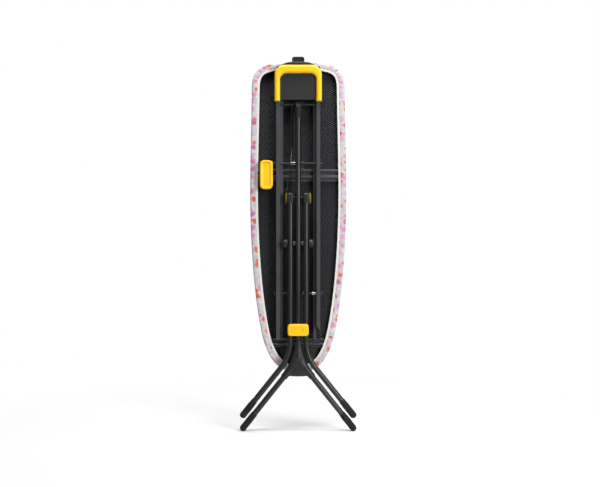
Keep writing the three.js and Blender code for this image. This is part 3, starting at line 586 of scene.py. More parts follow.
@dataclass(frozen=True)
class PrintedCotton(Finish):
    """Plain-woven cotton, printed with loose watercolour blossoms and leaves on a pale grey ground."""

    ground: str = "#d6d6d4"
    wash: str = "#bfbec3"
    blossom_spacing: float = 30.0
    leaf_spacing: float = 17.0
    wander: float = 12.0
    wander_grain: float = 9.0
    leaf_dyes: tuple = ((0.0, "#b3bdb2"), (0.35, "#e9e7e6"), (0.6, "#c2b9c6"), (0.85, "#d3d8d2"))
    petal_dyes: tuple = (
        (0.0, "#d9531c"), (0.36, "#e0713a"), (0.41, "#cf62a6"),
        (0.55, "#d987bb"), (0.75, "#dca6c9"), (1.0, "#cdbccb"),
    )

    def motif(
        self, tree: Tree, flat: Socket, spacing: float, reach: float, petals: int, soft: float
    ) -> tuple[Socket, Socket]:
        """Scatters one motif over the cloth.

        Args:
            tree: The node tree.
            flat: The flat cloth's coordinates.
            spacing: The motif's mean spacing, in millimetres.
            reach: Its radius, as a share of the spacing.
            petals: How many lobes its edge has.
            soft: How much of the radius its edge fades over.

        Returns:
            Its mask, and a random value that is even over each one.
        """
        scale = (1 / (spacing * MM),) * 3
        scaled = add_vector(tree, "MULTIPLY", flat, scale)
        cells = add_node(
            tree, "TexVoronoi", {"Vector": scaled, "Scale": 1.0, "Randomness": 0.8}, voronoi_dimensions="2D"
        )
        local = add_vector(tree, "SUBTRACT", scaled, cells.outputs["Position"])
        axes = add_node(tree, "SeparateXYZ", {"Vector": local})
        random = add_node(tree, "SeparateColor", {"Color": cells.outputs["Color"]})
        angle = add_math(tree, "ARCTAN2", axes.outputs["Y"], axes.outputs["X"])
        turned = add_math(tree, "MULTIPLY", random.outputs["Blue"], 2 * math.pi)
        phase = add_math(tree, "ADD", add_math(tree, "MULTIPLY", angle, float(petals)), turned)
        lobes = add_math(tree, "SINE", phase)
        size = add_range(tree, random.outputs["Green"], 0.0, 1.0, 0.55, 1.0)
        edge = add_math(tree, "MULTIPLY", size, reach)
        edge = add_math(tree, "MULTIPLY", edge, add_range(tree, lobes, -1.0, 1.0, 0.8, 1.05))
        inside = add_math(tree, "SUBTRACT", edge, cells.outputs["Distance"])
        return add_range(tree, inside, -soft * reach, soft * reach, 0.0, 1.0), random.outputs["Red"]

    def dress(self, tree: Tree, shader: Node) -> None:
        """Prints washes, leaves, then blossoms with darker hearts, and adds the weave."""
        straight = add_node(tree, "UVMap", uv_map="flat_cloth").outputs["UV"]
        # The brush wanders by a few millimetres, so that no outline is regular.
        noise = {"Vector": straight, "Scale": 1 / (self.wander_grain * MM), "Detail": 3.0}
        wander = add_node(tree, "TexNoise", noise).outputs["Color"]
        centred = add_vector(tree, "SUBTRACT", wander, (0.5, 0.5, 0.5))
        shifted = add_vector(tree, "MULTIPLY", centred, (self.wander * MM, self.wander * MM, 0.0))
        flat = add_vector(tree, "ADD", straight, shifted)
        washes = add_range(tree, add_noise(tree, flat, 16, 3.0), 0.38, 0.62, 0.0, 1.0)
        colour = add_mix(tree, washes, self.ground, self.wash)
        blush = add_range(tree, add_noise(tree, flat, 34, 2.0), 0.5, 0.66, 0.0, 0.4)
        colour = add_mix(tree, blush, colour, "#d9a9c9")
        leaf, leaf_dye = self.motif(tree, flat, self.leaf_spacing, 0.36, 2, 0.35)
        leaves = add_ramp(tree, leaf_dye, self.leaf_dyes)
        colour = add_mix(tree, add_math(tree, "MULTIPLY", leaf, 0.6), colour, leaves)
        blossom, dye = self.motif(tree, flat, self.blossom_spacing, 0.46, 3, 0.16)
        petals = add_ramp(tree, dye, self.petal_dyes)
        colour = add_mix(tree, add_math(tree, "MULTIPLY", blossom, 0.9), colour, petals)
        heart, _ = self.motif(tree, flat, self.blossom_spacing, 0.15, 3, 0.5)
        colour = add_mix(tree, add_math(tree, "MULTIPLY", heart, 0.3), colour, "#b93a52")
        # The real threads lie about 0.3 mm apart: they are drawn coarser so that they show.
        weave = weave_height(tree, straight, 0.9)
        self.link(tree, shader, Base_Color=colour, Normal=add_bump(tree, weave, 0.08))
        shader.inputs["Roughness"].default_value = 0.92
        shader.inputs["Sheen Weight"].default_value = 0.08
        shader.inputs["Specular IOR Level"].default_value = 0.2


@dataclass(frozen=True)
class CottonBinding(Finish):
    """Bleached bias binding or thread: white cotton with a fine twill line."""

    colour: str = "#eeece9"
    shade: str = "#e2dfda"

    def dress(self, tree: Tree, shader: Node) -> None:
        """Shades the twill lines in colour and height."""
        place = add_node(tree, "TexCoord").outputs["Object"]
        lines = {"Vector": place, "Scale": 1 / (7 * MM), "Distortion": 1.5}
        twill = add_node(tree, "TexWave", lines, bands_direction="DIAGONAL").outputs["Fac"]
        self.link(
            tree, shader,
            Base_Color=add_mix(tree, twill, self.colour, self.shade),
            Normal=add_bump(tree, twill, 0.06),
        )
        shader.inputs["Roughness"].default_value = 0.9
        shader.inputs["Sheen Weight"].default_value = 0.2


CHARCOAL_TUBE = PowderCoat("charcoal_powder_coat", Slot.CHARCOAL, "#161718", "#1c1d1e", 0.36)
RAIL_COAT = PowderCoat("rail_powder_coat", Slot.RAIL, "#3b3c3e", "#48494b", 0.46)
BEAM_COAT = PowderCoat("beam_powder_coat", Slot.RAIL, "#434446", "#4e4f51", 0.38)
MESH_COAT = PowderCoat("mesh_dip_coat", Slot.MESH, "#333338", "#3d3d42", 0.5, peel=1.4)
DARK_STEEL = PowderCoat("phosphated_steel", Slot.CHARCOAL, "#2c2d2e", "#3a3b3c", 0.36, peel=1.4)
YELLOW_PLASTIC = MouldedPlastic("yellow_polypropylene", Slot.YELLOW, "#ffcd00", "#ffc400", 0.42)
# The elbow knobs' yellow plastic, darkened to a dull olive: painted shade standing for the shadow the lugs
# cast on them.
SHADED_YELLOW_PLASTIC = MouldedPlastic("yellow_plastic_painted_shade", Slot.YELLOW, "#7d6f14", "#74660f", 0.6)
BLACK_PLASTIC = MouldedPlastic("black_polypropylene", Slot.BLACK, "#101112", "#161718", 0.42)
# Matt black plastic for leg A's top bracket. It is a little darker than the other black plastic, and that
# extra darkness is painted shade at the top of the leg.
SHADE_DARKENED_NYLON = MouldedPlastic("matt_nylon_painted_shade", Slot.BLACK, "#0b0c0c", "#101111", 0.72)
SLATE_PLASTIC = MouldedPlastic("slate_silicone_mat", Slot.BLACK, "#151617", "#1a1b1c", 0.55)
FOOT_RUBBER = SoftRubber("foot_rubber", Slot.RUBBER)
ZINC = ZincPlate("bright_zinc_plate", Slot.ZINC)
FELT = NeedledFelt("needled_felt", Slot.FELT)
COTTON = PrintedCotton("printed_cotton", Slot.COTTON)
BINDING = CottonBinding("cotton_binding", Slot.HEM)
THREAD = CottonBinding("sewing_thread", Slot.HEM, "#fbfaf8", "#d9d6d0")


# ---- finishing a piece -----------------------------------------------------------------------
SHARP_EDGE = math.radians(38)


def smooth(mesh: bpy.types.Mesh) -> None:
    """Shades a mesh smooth, apart from its sharp edges."""
    mesh.shade_smooth()
    mesh.set_sharp_from_angle(angle=SHARP_EDGE)


def piece(
    name: str, shape: Shape, body: str, finish: Finish, replaces: Iterable[str] = (), even: bool = True
) -> bpy.types.Object:
    """Turns a finished shape into an object that rides on a body.

    Args:
        name: The piece's name.
        shape: Its mesh, in place; it is freed.
        body: The CAD body it moves with.
        finish: What it is made of.
        replaces: The CAD nodes it stands for.
        even: Whether flat faces keep their own normals beside rounded rims.

    Returns:
        The new object.
    """
    mesh = bpy.data.meshes.new(name)
    shape.to_mesh(mesh)
    shape.free()
    smooth(mesh)
    mesh.materials.append(finish.material())
    made = bpy.data.objects.new(name, mesh)
    bpy.context.scene.collection.objects.link(made)
    if even:
        made.modifiers.new("even_normals", "WEIGHTED_NORMAL").keep_sharp = True
    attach(made, body)
    for node in replaces:
        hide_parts(node)
    LOG.info("%s rides on %s", name, body)
    return made


def dress_node(node: str, finish: Finish, bevel: float = 0.0) -> None:
    """Gives a CAD node its material and, where it has edges, small rounded ones.

    Args:
        node: The CAD node's name.
        finish: What it is made of.
        bevel: The width of its rounded edges, in millimetres.
    """
    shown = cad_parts[node]
    shown.data.materials.clear()
    shown.data.materials.append(finish.material())
    shown.data.shade_smooth()
    shown.modifiers.new("weld", "WELD").merge_threshold = 1e-6
    if bevel:
        edge = shown.modifiers.new("edges", "BEVEL")
        edge.width = bevel * MM
        edge.segments = 3
        edge.limit_method = "ANGLE"
        edge.angle_limit = math.radians(35)
    shown.modifiers.new("even_normals", "WEIGHTED_NORMAL").keep_sharp = False
    LOG.info("%s keeps its CAD shape", node)


# ---- the board's outline ---------------------------------------------------------------------
@dataclass(frozen=True)
class BoardOutline:
    """The cover's outline: four curves down each side, from the middle of the heel to the nose."""

    heel: float = 1462.0
    nose: float = 222.0
    corner: tuple[float, float] = (185.0, 1356.0)
    widest: tuple[float, float] = (191.0, 880.0)
    shoulder: tuple[float, float] = (157.7, 449.0)

    def curves(self) -> list[Outline]:
        """The control points of the right-hand curves, in millimetres."""
        corner, widest, shoulder = self.corner, self.widest, self.shoulder
        return [
            [(0, self.heel), (140, self.heel), (corner[0], 1446), corner],
            [corner, (187, 1200), (193.5, 1000), widest],
            [widest, (188.5, 720), (176, 560), shoulder],
            [shoulder, (142, 350), (118, self.nose), (0, self.nose)],
        ]

    def right(self, spacing: float) -> list[tuple[Vector, Vector]]:
        """Places about evenly spaced down the right side, each with its outward direction."""
        stations = []
        for number, points in enumerate(self.curves()):
            p0, p1, p2, p3 = (Vector(point) for point in points)
            length = ((p1 - p0).length + (p2 - p1).length + (p3 - p2).length + (p3 - p0).length) / 2
            count = max(round(length / spacing), 4)
            for step in range(1 if number else 0, count + 1):
                t = step / count
                s = 1 - t
                place = p0 * s**3 + p1 * 3 * s * s * t + p2 * 3 * s * t * t + p3 * t**3
                heading = (p1 - p0) * s * s + (p2 - p1) * 2 * s * t + (p3 - p2) * t * t
                heading.normalize()
                stations.append((place, Vector((-heading.y, heading.x))))
        return stations

    def stations(self, spacing: float) -> list[tuple[Vector, Vector]]:
        """The whole outline, anticlockwise from the nose, each place with its outward direction."""
        right = self.right(spacing)
        left = [(Vector((-p.x, p.y)), Vector((-n.x, n.y))) for p, n in right[1:-1]]
        return list(reversed(right)) + left

    def ring(self, spacing: float, inwards: float) -> Outline:
        """The outline moved inwards, in metres, anticlockwise."""
        return [tuple((place - normal * inwards) * MM) for place, normal in self.stations(spacing)]


OUTLINE = BoardOutline()


def pucker(along: float, pitch: float, seed: float) -> float:
    """An uneven ripple between -1 and 1 at a distance along a hem, in millimetres."""
    slow = 0.35 * math.sin(along / 61 + seed) + 0.25 * math.sin(along / 23.7 + 2 * seed)
    return math.sin(2 * math.pi * along / pitch + 2.2 * slow) * (0.75 + slow * 0.5)


# ---- the padded top --------------------------------------------------------------------------
@dataclass
class PaddedTop:
    """The cover, its gathered hem and stitching, and the felt under it."""

    spacing: float = 4.0
    lip_inset: float = 22.0
    hem_width: float = 9.0
    back_crown: float = 0.9
    ridge_rows: int = 12

    def cover_profile(self) -> Outline:
        """The cover's section from the hem, round the edge, to the ironing face: (inset, depth)."""
        underside = [(self.lip_inset + 2, 20.3), (18, 20.7), (14, 20.9), (10, 21.0), (6.5, 20.8)]
        rim = [(4, 20.0), (2.2, 18.6), (0.9, 16.5), (0.3, 13.5), (0, 9), (0, 4), (0.2, 0)]
        shoulder = [(0.7, -3), (1.8, -5.6), (3.6, -7.6), (6.2, -8.9), (10, -9.6), (16, -9.9)]
        return underside + rim + shoulder

    def cover(self) -> bpy.types.Object:
        """The printed cover: a skin stretched over the pad, puckered towards its hem."""
        stations = OUTLINE.stations(self.spacing)
        rings, flats = [], []
        travel = self.lip_inset + 2
        profile = self.cover_profile()
        for row, (inwards, depth) in enumerate(profile):
            if row:
                before = profile[row - 1]
                travel -= math.hypot(inwards - before[0], depth - before[1])
            slack = max(0.0, 1 - row / 6)
            ring, flat = [], []
            for index, (place, normal) in enumerate(stations):
                ripple = pucker(index * self.spacing, 15.0, 0.4) * slack * 0.8
                moved = place - normal * inwards
                ring.append(at(moved.x, depth + ripple, moved.y))
                unrolled = place - normal * (inwards if row > len(profile) - 7 else -abs(travel))
                flat.append((unrolled.x * MM, unrolled.y * MM))
            rings.append(ring)
            flats.append(flat)
        low_ridge, high_ridge = OUTLINE.nose + 150, OUTLINE.heel - 150
        last = profile[-1][0]
        for row in range(1, self.ridge_rows + 1):
            share = row / self.ridge_rows
            ring, flat = [], []
            for place, normal in stations:
                start = place - normal * last
                ridge = Vector((0, min(max(start.y, low_ridge), high_ridge)))
                moved = start.lerp(ridge, share)
                crown = self.back_crown * math.sin(share * math.pi / 2)
                ring.append(at(moved.x, profile[-1][1] - crown, moved.y))
                flat.append((moved.x * MM, moved.y * MM))
            rings.append(ring)
            flats.append(flat)
        shape = loft(rings, caps=False)
        layer = shape.loops.layers.uv.new("flat_cloth")
        count = len(stations)
        shape.verts.index_update()
        for face in shape.faces:
            for loop in face.loops:
                row, column = divmod(loop.vert.index, count)
                loop[layer].uv = flats[row][column]
        bmesh.ops.remove_doubles(shape, verts=shape.verts[:], dist=2e-5)
        made = piece("cover_skin", shape, "board", COTTON, ["cover"], even=False)
        made.data.shade_smooth()
        cloth = made.modifiers.new("cloth", "SOLIDIFY")
        cloth.thickness = 0.6 * MM
        cloth.offset = -1
        return made

    def hem(self) -> bpy.types.Object:
        """The bound hem: a narrow band, gathered by the elastic inside it."""
        pitch = 2.0
        stations = OUTLINE.stations(pitch)
        middle = self.lip_inset + self.hem_width / 2 + 0.2
        section = [(x * self.hem_width / 2, z * 0.9) for x, z in circle(1.0, 10)]
        rings = []
        for index, (place, normal) in enumerate(stations):
            ripple = pucker(index * pitch, 8.5, 1.7)
            ring = []
            for across, rise in section:
                moved = place - normal * (middle + across)
                swing = ripple * (0.35 + 0.4 * max(0, across) / self.hem_width)
                ring.append(at(moved.x, 20.4 + rise + swing, moved.y))
            rings.append(ring)
        shape = loft([*rings, rings[0]], caps=False)
        bmesh.ops.remove_doubles(shape, verts=shape.verts[:], dist=1e-6)
        bmesh.ops.recalc_face_normals(shape, faces=shape.faces[:])
        return piece("hem_band", shape, "board", BINDING, ["elastic_hem"], even=False)

    def stitching(self) -> bpy.types.Object:
        """A row of stitches along the hem's outer edge."""
        shape = bmesh.new()
        pitch = 4.0
        stations = OUTLINE.stations(pitch)
        for index, (place, normal) in enumerate(stations):
            moved = place - normal * (self.lip_inset + 1.6)
            ripple = pucker(index * pitch, 8.5, 1.7) * 0.3
            turn = Matrix.Rotation(math.atan2(-normal.x, normal.y), 4, Vector((0, -1, 0)))
            size = Matrix.Diagonal((1.4 * MM, 0.35 * MM, 0.35 * MM, 1))
            spot = Matrix.Translation(at(moved.x, 21.35 + ripple, moved.y))
            bmesh.ops.create_uvsphere(shape, u_segments=6, v_segments=4, radius=1, matrix=spot @ turn @ size)
        return piece("hem_stitches", shape, "board", THREAD, even=False)

    def pad(self) -> bpy.types.Object:
        """The felt pad: a slab with a rounded edge that fills the cover."""
        span = Span.of("felt_pad")
        edge = OUTLINE.ring(8.0, 2.4)
        shape = plate(edge, span.high.y, span.low.y, 3.2 * MM, 1.5 * MM, 4)
        return piece("felt_slab", shape, "board", FELT, ["felt_pad"])

    def build(self) -> None:
        """Builds the padded top: the hem, its stitches, the cover and the felt pad."""
        hem = self.hem()
        stitches = self.stitching()
        cover = self.cover()
        pad = self.pad()


# ---- the bed ---------------------------------------------------------------------------------
@dataclass
class Bed:
    """The edge tube, the expanded mesh and the beams across them."""

    diamond_width: float = 16.8
    diamond_height: float = 8.87
    strand: tuple[float, float] = (1.5, 0.7)
    tilt: float = math.radians(20)
    edge_inset: float = 9.0
    # the beam's section: share of its height, and depth in millimetres
    beam_folds: tuple = (
        (0, 5), (0.1, 5), (0.33, 18), (0.42, 18), (0.6, 5.5), (0.66, 5.5), (0.85, 17), (0.92, 17), (1, 10),
    )
    beam_sheet: float = 1.4

    def beam(self, node: str) -> None:
        """A pressed beam: a sheet with two rounded ridges, seen in section and run across the bed."""
        span = Span.of(node)
        front = []
        for (share0, depth0), (share1, depth1) in zip(self.beam_folds, self.beam_folds[1:]):
            for step in range(6):
                t = step / 6
                ease = 0.5 - 0.5 * math.cos(math.pi * t)
                z = span.low.z + (share0 + (share1 - share0) * t) * span.size.z
                front.append((BED_Y - (depth0 + (depth1 - depth0) * ease) * MM, z))
        front.append((BED_Y - self.beam_folds[-1][1] * MM, span.high.z))
        back = [(y + self.beam_sheet * MM, z) for y, z in reversed(front)]
        rings = [[(x, y, z) for y, z in front + back] for x in (span.low.x, span.high.x)]
        piece(f"{node}_pressing", loft(rings), "board", BEAM_COAT, [node], even=False)

    def half_width(self, height: float, edge: Outline) -> float:
        """How far the mesh reaches from the middle at a height, both in metres."""
        reach = 0.0
        for (x0, z0), (x1, z1) in zip(edge, edge[1:]):
            if min(z0, z1) <= height <= max(z0, z1) and z0 != z1 and x0 > 0:
                reach = max(reach, x0 + (x1 - x0) * (height - z0) / (z1 - z0))
        return reach

    def mesh(self) -> None:
        """The expanded mesh: rows of slit and stretched steel that meet in diamonds."""
        edge = OUTLINE.ring(6.0, self.edge_inset)
        wide, thick = (size * MM / 2 for size in self.strand)
        cos, sin = math.cos(self.tilt), math.sin(self.tilt)
        corners = [(-wide, -thick), (wide, -thick), (wide, thick), (-wide, thick)]
        section = [(z * cos - y * sin, z * sin + y * cos) for z, y in corners]
        depth = Span.of("mesh_panel").centre.y
        step, rise = self.diamond_width / 2 * MM, self.diamond_height / 4 * MM
        low, high = (OUTLINE.nose + self.edge_inset + 6) * MM, (OUTLINE.heel - self.edge_inset - 6) * MM
        rows = int((high - low) / (2 * rise))
        whole = bmesh.new()
        for row in range(rows + 1):
            height = low + 2 * rise * row
            nodes = int(self.half_width(height, edge) / step)
            rings = []
            for node in range(-nodes, nodes + 1):
                bent = rise * 0.94 if (node + row) % 2 else -rise * 0.94
                rings.append([(node * step, depth + y, height + bent + z) for z, y in section])
            if len(rings) > 1:
                merge_into(whole, loft(rings))
        piece("expanded_mesh", whole, "board", MESH_COAT, ["mesh_panel"], even=False)

    def edge_tube(self) -> None:
        """The round tube that the mesh is welded to, in two halves."""
        span = Span.of("frame_tube_right")
        radius = span.size.y / 2
        for side, sign in SIDES.items():
            path = [
                Vector(((place - normal * 13).x * sign * MM, span.centre.y, (place - normal * 13).y * MM))
                for place, normal in OUTLINE.right(12.0)
            ]
            path[0].x = path[-1].x = 0.2 * MM * sign
            shape = sweep(path, circle(radius, 20), ONWARD)
            piece(f"edge_tube_{side}", shape, "board", CHARCOAL_TUBE, [f"frame_tube_{side}"])

    def build(self) -> None:
        """Builds the tube and mesh, and dresses the beams."""
        self.edge_tube()
        self.mesh()
        for beam in ("mid_crossbeam", "nose_crossbeam"):
            self.beam(beam)
        dress_node("nose_plate", SLATE_PLASTIC, 0.4)
        for side in SIDES:
            dress_node(f"guide_rail_{side}", RAIL_COAT, 0.7)


# ---- the heel --------------------------------------------------------------------------------
@dataclass
class HeelEnd:
    """The black moulding at the heel and the tab on it."""

    neck_half: float = 57.0
    neck_top: float = 1427.0
    dome_height: float = 21.0
    flat_half: float = 18.0

    def moulding(self) -> None:
        """A cap that widens above the rails into a low dome."""
        span = Span.of("heel_moulding")
        half, top = span.high.x, span.high.z
        shoulder = top - self.dome_height * MM
        right = [(self.neck_half * MM, span.low.z), (self.neck_half * MM, self.neck_top * MM)]
        right += [(half, self.neck_top * MM), (half, shoulder)]
        for step in range(1, 13):
            turn = math.pi / 2 * step / 12
            across = math.cos(turn) * (half - self.flat_half * MM) + self.flat_half * MM
            right.append((across, shoulder + (top - shoulder) * math.sin(turn)))
        left = [(-x, z) for x, z in reversed(right)]
        shape = plate(right + left, span.high.y - 3 * MM, span.low.y, 1.2 * MM, 5 * MM, 6)
        piece("heel_cap", shape, "board", BLACK_PLASTIC, ["heel_moulding"])

    def tab(self) -> None:
        """A rounded tab with a shallow recess."""
        span = Span.of("heel_tab")
        outline = rounded_rectangle(span.low.x, span.high.x, span.low.z - 8 * MM, span.high.z, 9 * MM)
        shape = dished_plate(outline, span.high.y, span.low.y, 2.2 * MM, 4.5 * MM, 3 * MM)
        piece("heel_tab_moulded", shape, "board", BLACK_PLASTIC, ["heel_tab"])

    def build(self) -> None:
        """Builds the moulding and its tab, and dresses the hidden bracket."""
        self.moulding()
        self.tab()
        dress_node("heel_bracket", BLACK_PLASTIC, 1.0)


# ---- cross rods ------------------------------------------------------------------------------
def rod_along_x(name: str, node: str, body: str, edge: float = 0.8) -> None:
    """Replaces a CAD rod along X with a round one whose ends are rounded.

    Args:
        name: The piece's name.
        node: The CAD rod.
        body: The body it rides on.
        edge: The radius of its end rims, in millimetres.
    """
    span = Span.of(node)
    profile = rounded_profile(span.size.z / 2, span.size.x, edge * MM)
    piece(name, lathe(profile, span.left_end, ACROSS, 28), body, DARK_STEEL, [node])


@dataclass
class CrossRods:
    """The heel axle, the lower rod and what is pushed on it."""

    bore: float = 4.1
    sleeve: float = 4.7

    def push_nut(self, name: str, node: str, body: str) -> None:
        """A domed cap pushed on a rod's end, with a pressed rim."""
        span = Span.of(node)
        radius, length = span.size.z / 2, span.size.x
        outward = 1 if span.centre.x > 0 else -1
        start = Vector((span.low.x if outward > 0 else span.high.x, span.centre.y, span.centre.z))
        rim = [(0, 0), (radius * 0.9, 0), (radius, 0.5 * MM), (radius, 1.4 * MM), (radius * 0.84, 1.9 * MM)]
        dome = [(0.8, 0.7), (0.6, 0.92), (0.3, 1), (0, 1)]
        profile = rim + [(radius * out, length * along) for out, along in dome]
        piece(name, lathe(profile, start, Vector((outward, 0, 0)), 28), body, DARK_STEEL, [node])

    def ring(self, name: str, node: str) -> None:
        """A ring round the lower rod."""
        span = Span.of(node)
        profile = bored_profile(span.size.z / 2, self.bore * MM, span.size.x, 0.8 * MM)
        piece(name, lathe(profile, span.left_end, ACROSS, 28), "board", ZINC, [node])

    def collar(self) -> None:
        """The collar with its thin sleeve, which lies over the rail's flange."""
        span = Span.of("lower_rod_collar")
        radius, shoulder = span.size.z / 2, 5.7 * MM
        bore, sleeve, length = self.bore * MM, self.sleeve * MM, span.size.x
        profile = [(bore, 0), (radius - 0.8 * MM, 0), (radius, 0.8 * MM), (radius, shoulder - 0.6 * MM)]
        profile += [(radius - 0.6 * MM, shoulder), (sleeve, shoulder), (sleeve, length), (bore, length)]
        shape = lathe(profile, span.left_end, ACROSS, 28)
        piece("lower_collar_ring", shape, "board", ZINC, ["lower_rod_collar"])

    def build(self) -> None:
        """Builds the two fixed rods and their fittings."""
        rod_along_x("heel_axle_rod", "heel_axle", "board")
        rod_along_x("lower_cross_rod", "lower_rod", "board")
        for side in SIDES:
            self.push_nut(f"lower_push_nut_{side}", f"lower_rod_cap_{side}", "board")
        self.collar()
        self.ring("lower_clip_ring", "lower_rod_clip")


@dataclass
class ReturnSpring:
    """The sleeved spring beside leg A and the wire that hooks it on."""

    turn_pitch: float = 2.4
    swell: float = 0.14

    def build(self) -> None:
        """Builds the sleeve, which shows the coils inside it, and its hook."""
        span = Span.of("spring_sleeve")
        radius, length = span.size.x / 2 - self.swell * MM, span.size.z
        rows = int(length / (self.turn_pitch * MM) * 4)
        profile = [(0, 0), (radius * 0.7, 0)]
        for row in range(1, rows):
            along = length * row / rows
            profile.append((radius + self.swell * MM * math.cos(row * math.pi / 2), along))
        profile += [(radius * 0.7, length), (0, length)]
        start = Vector((span.centre.x, span.centre.y, span.low.z))
        piece("spring_sleeve_skin", lathe(profile, start, UP, 20), "board", BLACK_PLASTIC, ["spring_sleeve"])
        wire = Span.of("spring_wire")
        low, high = wire.low, wire.high
        loop = [Vector((low.x + 1.2 * MM, wire.centre.y, low.z + 2 * MM))]
        path = [Vector((high.x - 1.2 * MM, wire.centre.y, high.z)), loop[0]]
        for step in range(1, 13):
            turn = math.pi * 1.5 * step / 12
            path.append(loop[0] + Vector((0, 2.6 * MM * (1 - math.cos(turn)), -2.6 * MM * math.sin(turn))))
        fine = []
        for a, b in zip(path, path[1:]):
            fine += [a.lerp(b, part / 2) for part in range(2)]
        fine.append(path[-1])
        piece("spring_hook", sweep(fine, circle(1.1 * MM, 10), ONWARD), "board", ZINC, ["spring_wire"])


# ---- iron rest -------------------------------------------------------------------------------
@dataclass
class IronRest:
    """The yellow rim, the mat inside it and the two runners."""

    outer_corner: float = 40.0
    inner_corner: float = 26.0

    def rim_outline(self, outer: Span, mat: Span) -> Outline:
        """The U's outline, anticlockwise from its lower right corner."""
        side, low, top = outer.high.x, outer.low.z, outer.high.z
        inner, inner_top = mat.high.x + 0.3 * MM, mat.high.z + 0.3 * MM
        points = [(side, low)]
        r = self.outer_corner * MM
        points += arc((side - r, top - r), r, 0, 1, 12)
        points += arc((-side + r, top - r), r, 1, 2, 12)
        points += [(-side, low), (-inner, low)]
        r = self.inner_corner * MM
        points += arc((-inner + r, inner_top - r), r, 2, 1, 12)
        points += arc((inner - r, inner_top - r), r, 1, 0, 12)
        points.append((inner, low))
        return points

    def build(self) -> None:
        """Builds the rim and the mat, and dresses the runners."""
        outer, mat = Span.of("iron_rest_rim"), Span.of("iron_rest_plate")
        rim = plate(self.rim_outline(outer, mat), outer.high.y, outer.low.y, 4 * MM, 10.3 * MM, 9)
        piece("iron_rest_frame", rim, "iron_rest", YELLOW_PLASTIC, ["iron_rest_rim"])
        r = self.inner_corner * MM
        side, low, top = mat.high.x, mat.low.z, mat.high.z
        outline = [(-side, low), (side, low)]
        outline += arc((side - r, top - r), r, 0, 1, 8)
        outline += arc((-side + r, top - r), r, 1, 2, 8)
        mat_shape = dished_plate(outline, mat.high.y, mat.low.y, 0.5 * MM, 5 * MM, 0.8 * MM)
        piece("iron_rest_mat", mat_shape, "iron_rest", SLATE_PLASTIC, ["iron_rest_plate"])
        for side_name in SIDES:
            dress_node(f"iron_rest_runner_{side_name}", CHARCOAL_TUBE, 0.8)


# ---- release lever ---------------------------------------------------------------------------
@dataclass
class Lever:
    """The yellow lever, its rod and what turns on it."""

    corner: float = 18.0

    def paddle(self) -> None:
        """The dished paddle with its hub round the rod."""
        span, rod = Span.of("release_lever"), Span.of("lever_rod")
        outline = rounded_rectangle(span.low.x, span.high.x, span.low.z, span.high.z, self.corner * MM, 10)
        back = span.low.y + 13 * MM
        face = dished_plate(outline, back, span.low.y, 5 * MM, 10 * MM, 3.2 * MM)
        start = Vector((span.low.x + 2 * MM, rod.centre.y, rod.centre.z))
        hub = lathe(bored_profile(9.5 * MM, 4.2 * MM, span.size.x - 4 * MM, 1.2 * MM), start, ACROSS, 36)
        left, right = span.low.x + 4 * MM, span.high.x - 4 * MM
        neck = rounded_rectangle(left, right, rod.centre.z - 8 * MM, rod.centre.z + 8 * MM, 2 * MM)
        web = plate(neck, rod.low.y - 0.5 * MM, back + 0.5 * MM, 0.5 * MM, 0.3 * MM, 2)
        shape = joined(face, hub, web)
        piece("lever_paddle", shape, "lever", YELLOW_PLASTIC, ["release_lever"])

    def coil(self) -> None:
        """The torsion spring wound on the rod."""
        span, rod = Span.of("lever_spring"), Span.of("lever_rod")
        radius, wire = span.size.z / 2 - 1.1 * MM, 1.05 * MM
        turns, steps = 9, 18
        path = []
        for step in range(turns * steps + 1):
            turn = 2 * math.pi * step / steps
            x = span.low.x + wire + (span.size.x - 2 * wire) * step / (turns * steps)
            y = rod.centre.y + radius * math.cos(turn)
            path.append(Vector((x, y, rod.centre.z + radius * math.sin(turn))))
        shape = sweep(path, circle(wire, 8), ACROSS)
        piece("lever_coil", shape, "lever", ZINC, ["lever_spring"], even=False)

    def wire(self) -> None:
        """The pull wire, hooked round the rod at its top and bent into an eye below."""
        span, rod = Span.of("pull_wire"), Span.of("lever_rod")
        high = Vector((span.high.x - 1.3 * MM, span.centre.y, span.high.z))
        low = Vector((span.low.x + 1.3 * MM, span.centre.y, span.low.z + 3 * MM))
        path = []
        for step in range(10):
            turn = math.pi * (1.15 - 1.15 * step / 9)
            around = Vector((0, math.cos(turn), math.sin(turn))) * 5.4 * MM
            path.append(Vector((high.x, rod.centre.y, rod.centre.z)) - Vector((0, around.y, -around.z)))
        path += [high.lerp(low, part / 6) for part in range(1, 7)]
        for step in range(1, 9):
            turn = math.pi * 1.4 * step / 8
            path.append(low + Vector((2.4 * MM * (math.cos(turn) - 1), 0, -2.4 * MM * math.sin(turn))))
        shape = sweep(path, circle(1.2 * MM, 10), ACROSS)
        piece("lever_pull_wire", shape, "lever", DARK_STEEL, ["pull_wire"])

    def build(self) -> None:
        """Builds the lever and dresses its latch."""
        self.paddle()
        rod_along_x("lever_cross_rod", "lever_rod", "lever")
        CrossRods().push_nut("lever_push_nut", "lever_rod_cap", "lever")
        self.coil()
        self.wire()
        dress_node("latch_pawl", DARK_STEEL, 0.5)


# ---- legs ------------------------------------------------------------------------------------
@dataclass
class Splay:
    """The line of the splayed feet, worked out from a rubber foot's box."""

    angle: float = math.radians(38.7)
    foot_radius: float = 13.2
    sole_cut: float = 0.6

    @property
    def down(self) -> Vector:
        """The direction of the right-hand foot, from the knuckle to the toe."""
        return Vector((math.sin(self.angle), 0, -math.cos(self.angle)))

    def toe(self, node: str) -> Vector:
        """The centre of the round toe of a right-hand foot."""
        span = Span.of(node)
        radius = self.foot_radius * MM
        height = span.low.z + (self.foot_radius - self.sole_cut) * MM
        return Vector((span.high.x - radius, span.centre.y, height))


SPLAY = Splay()


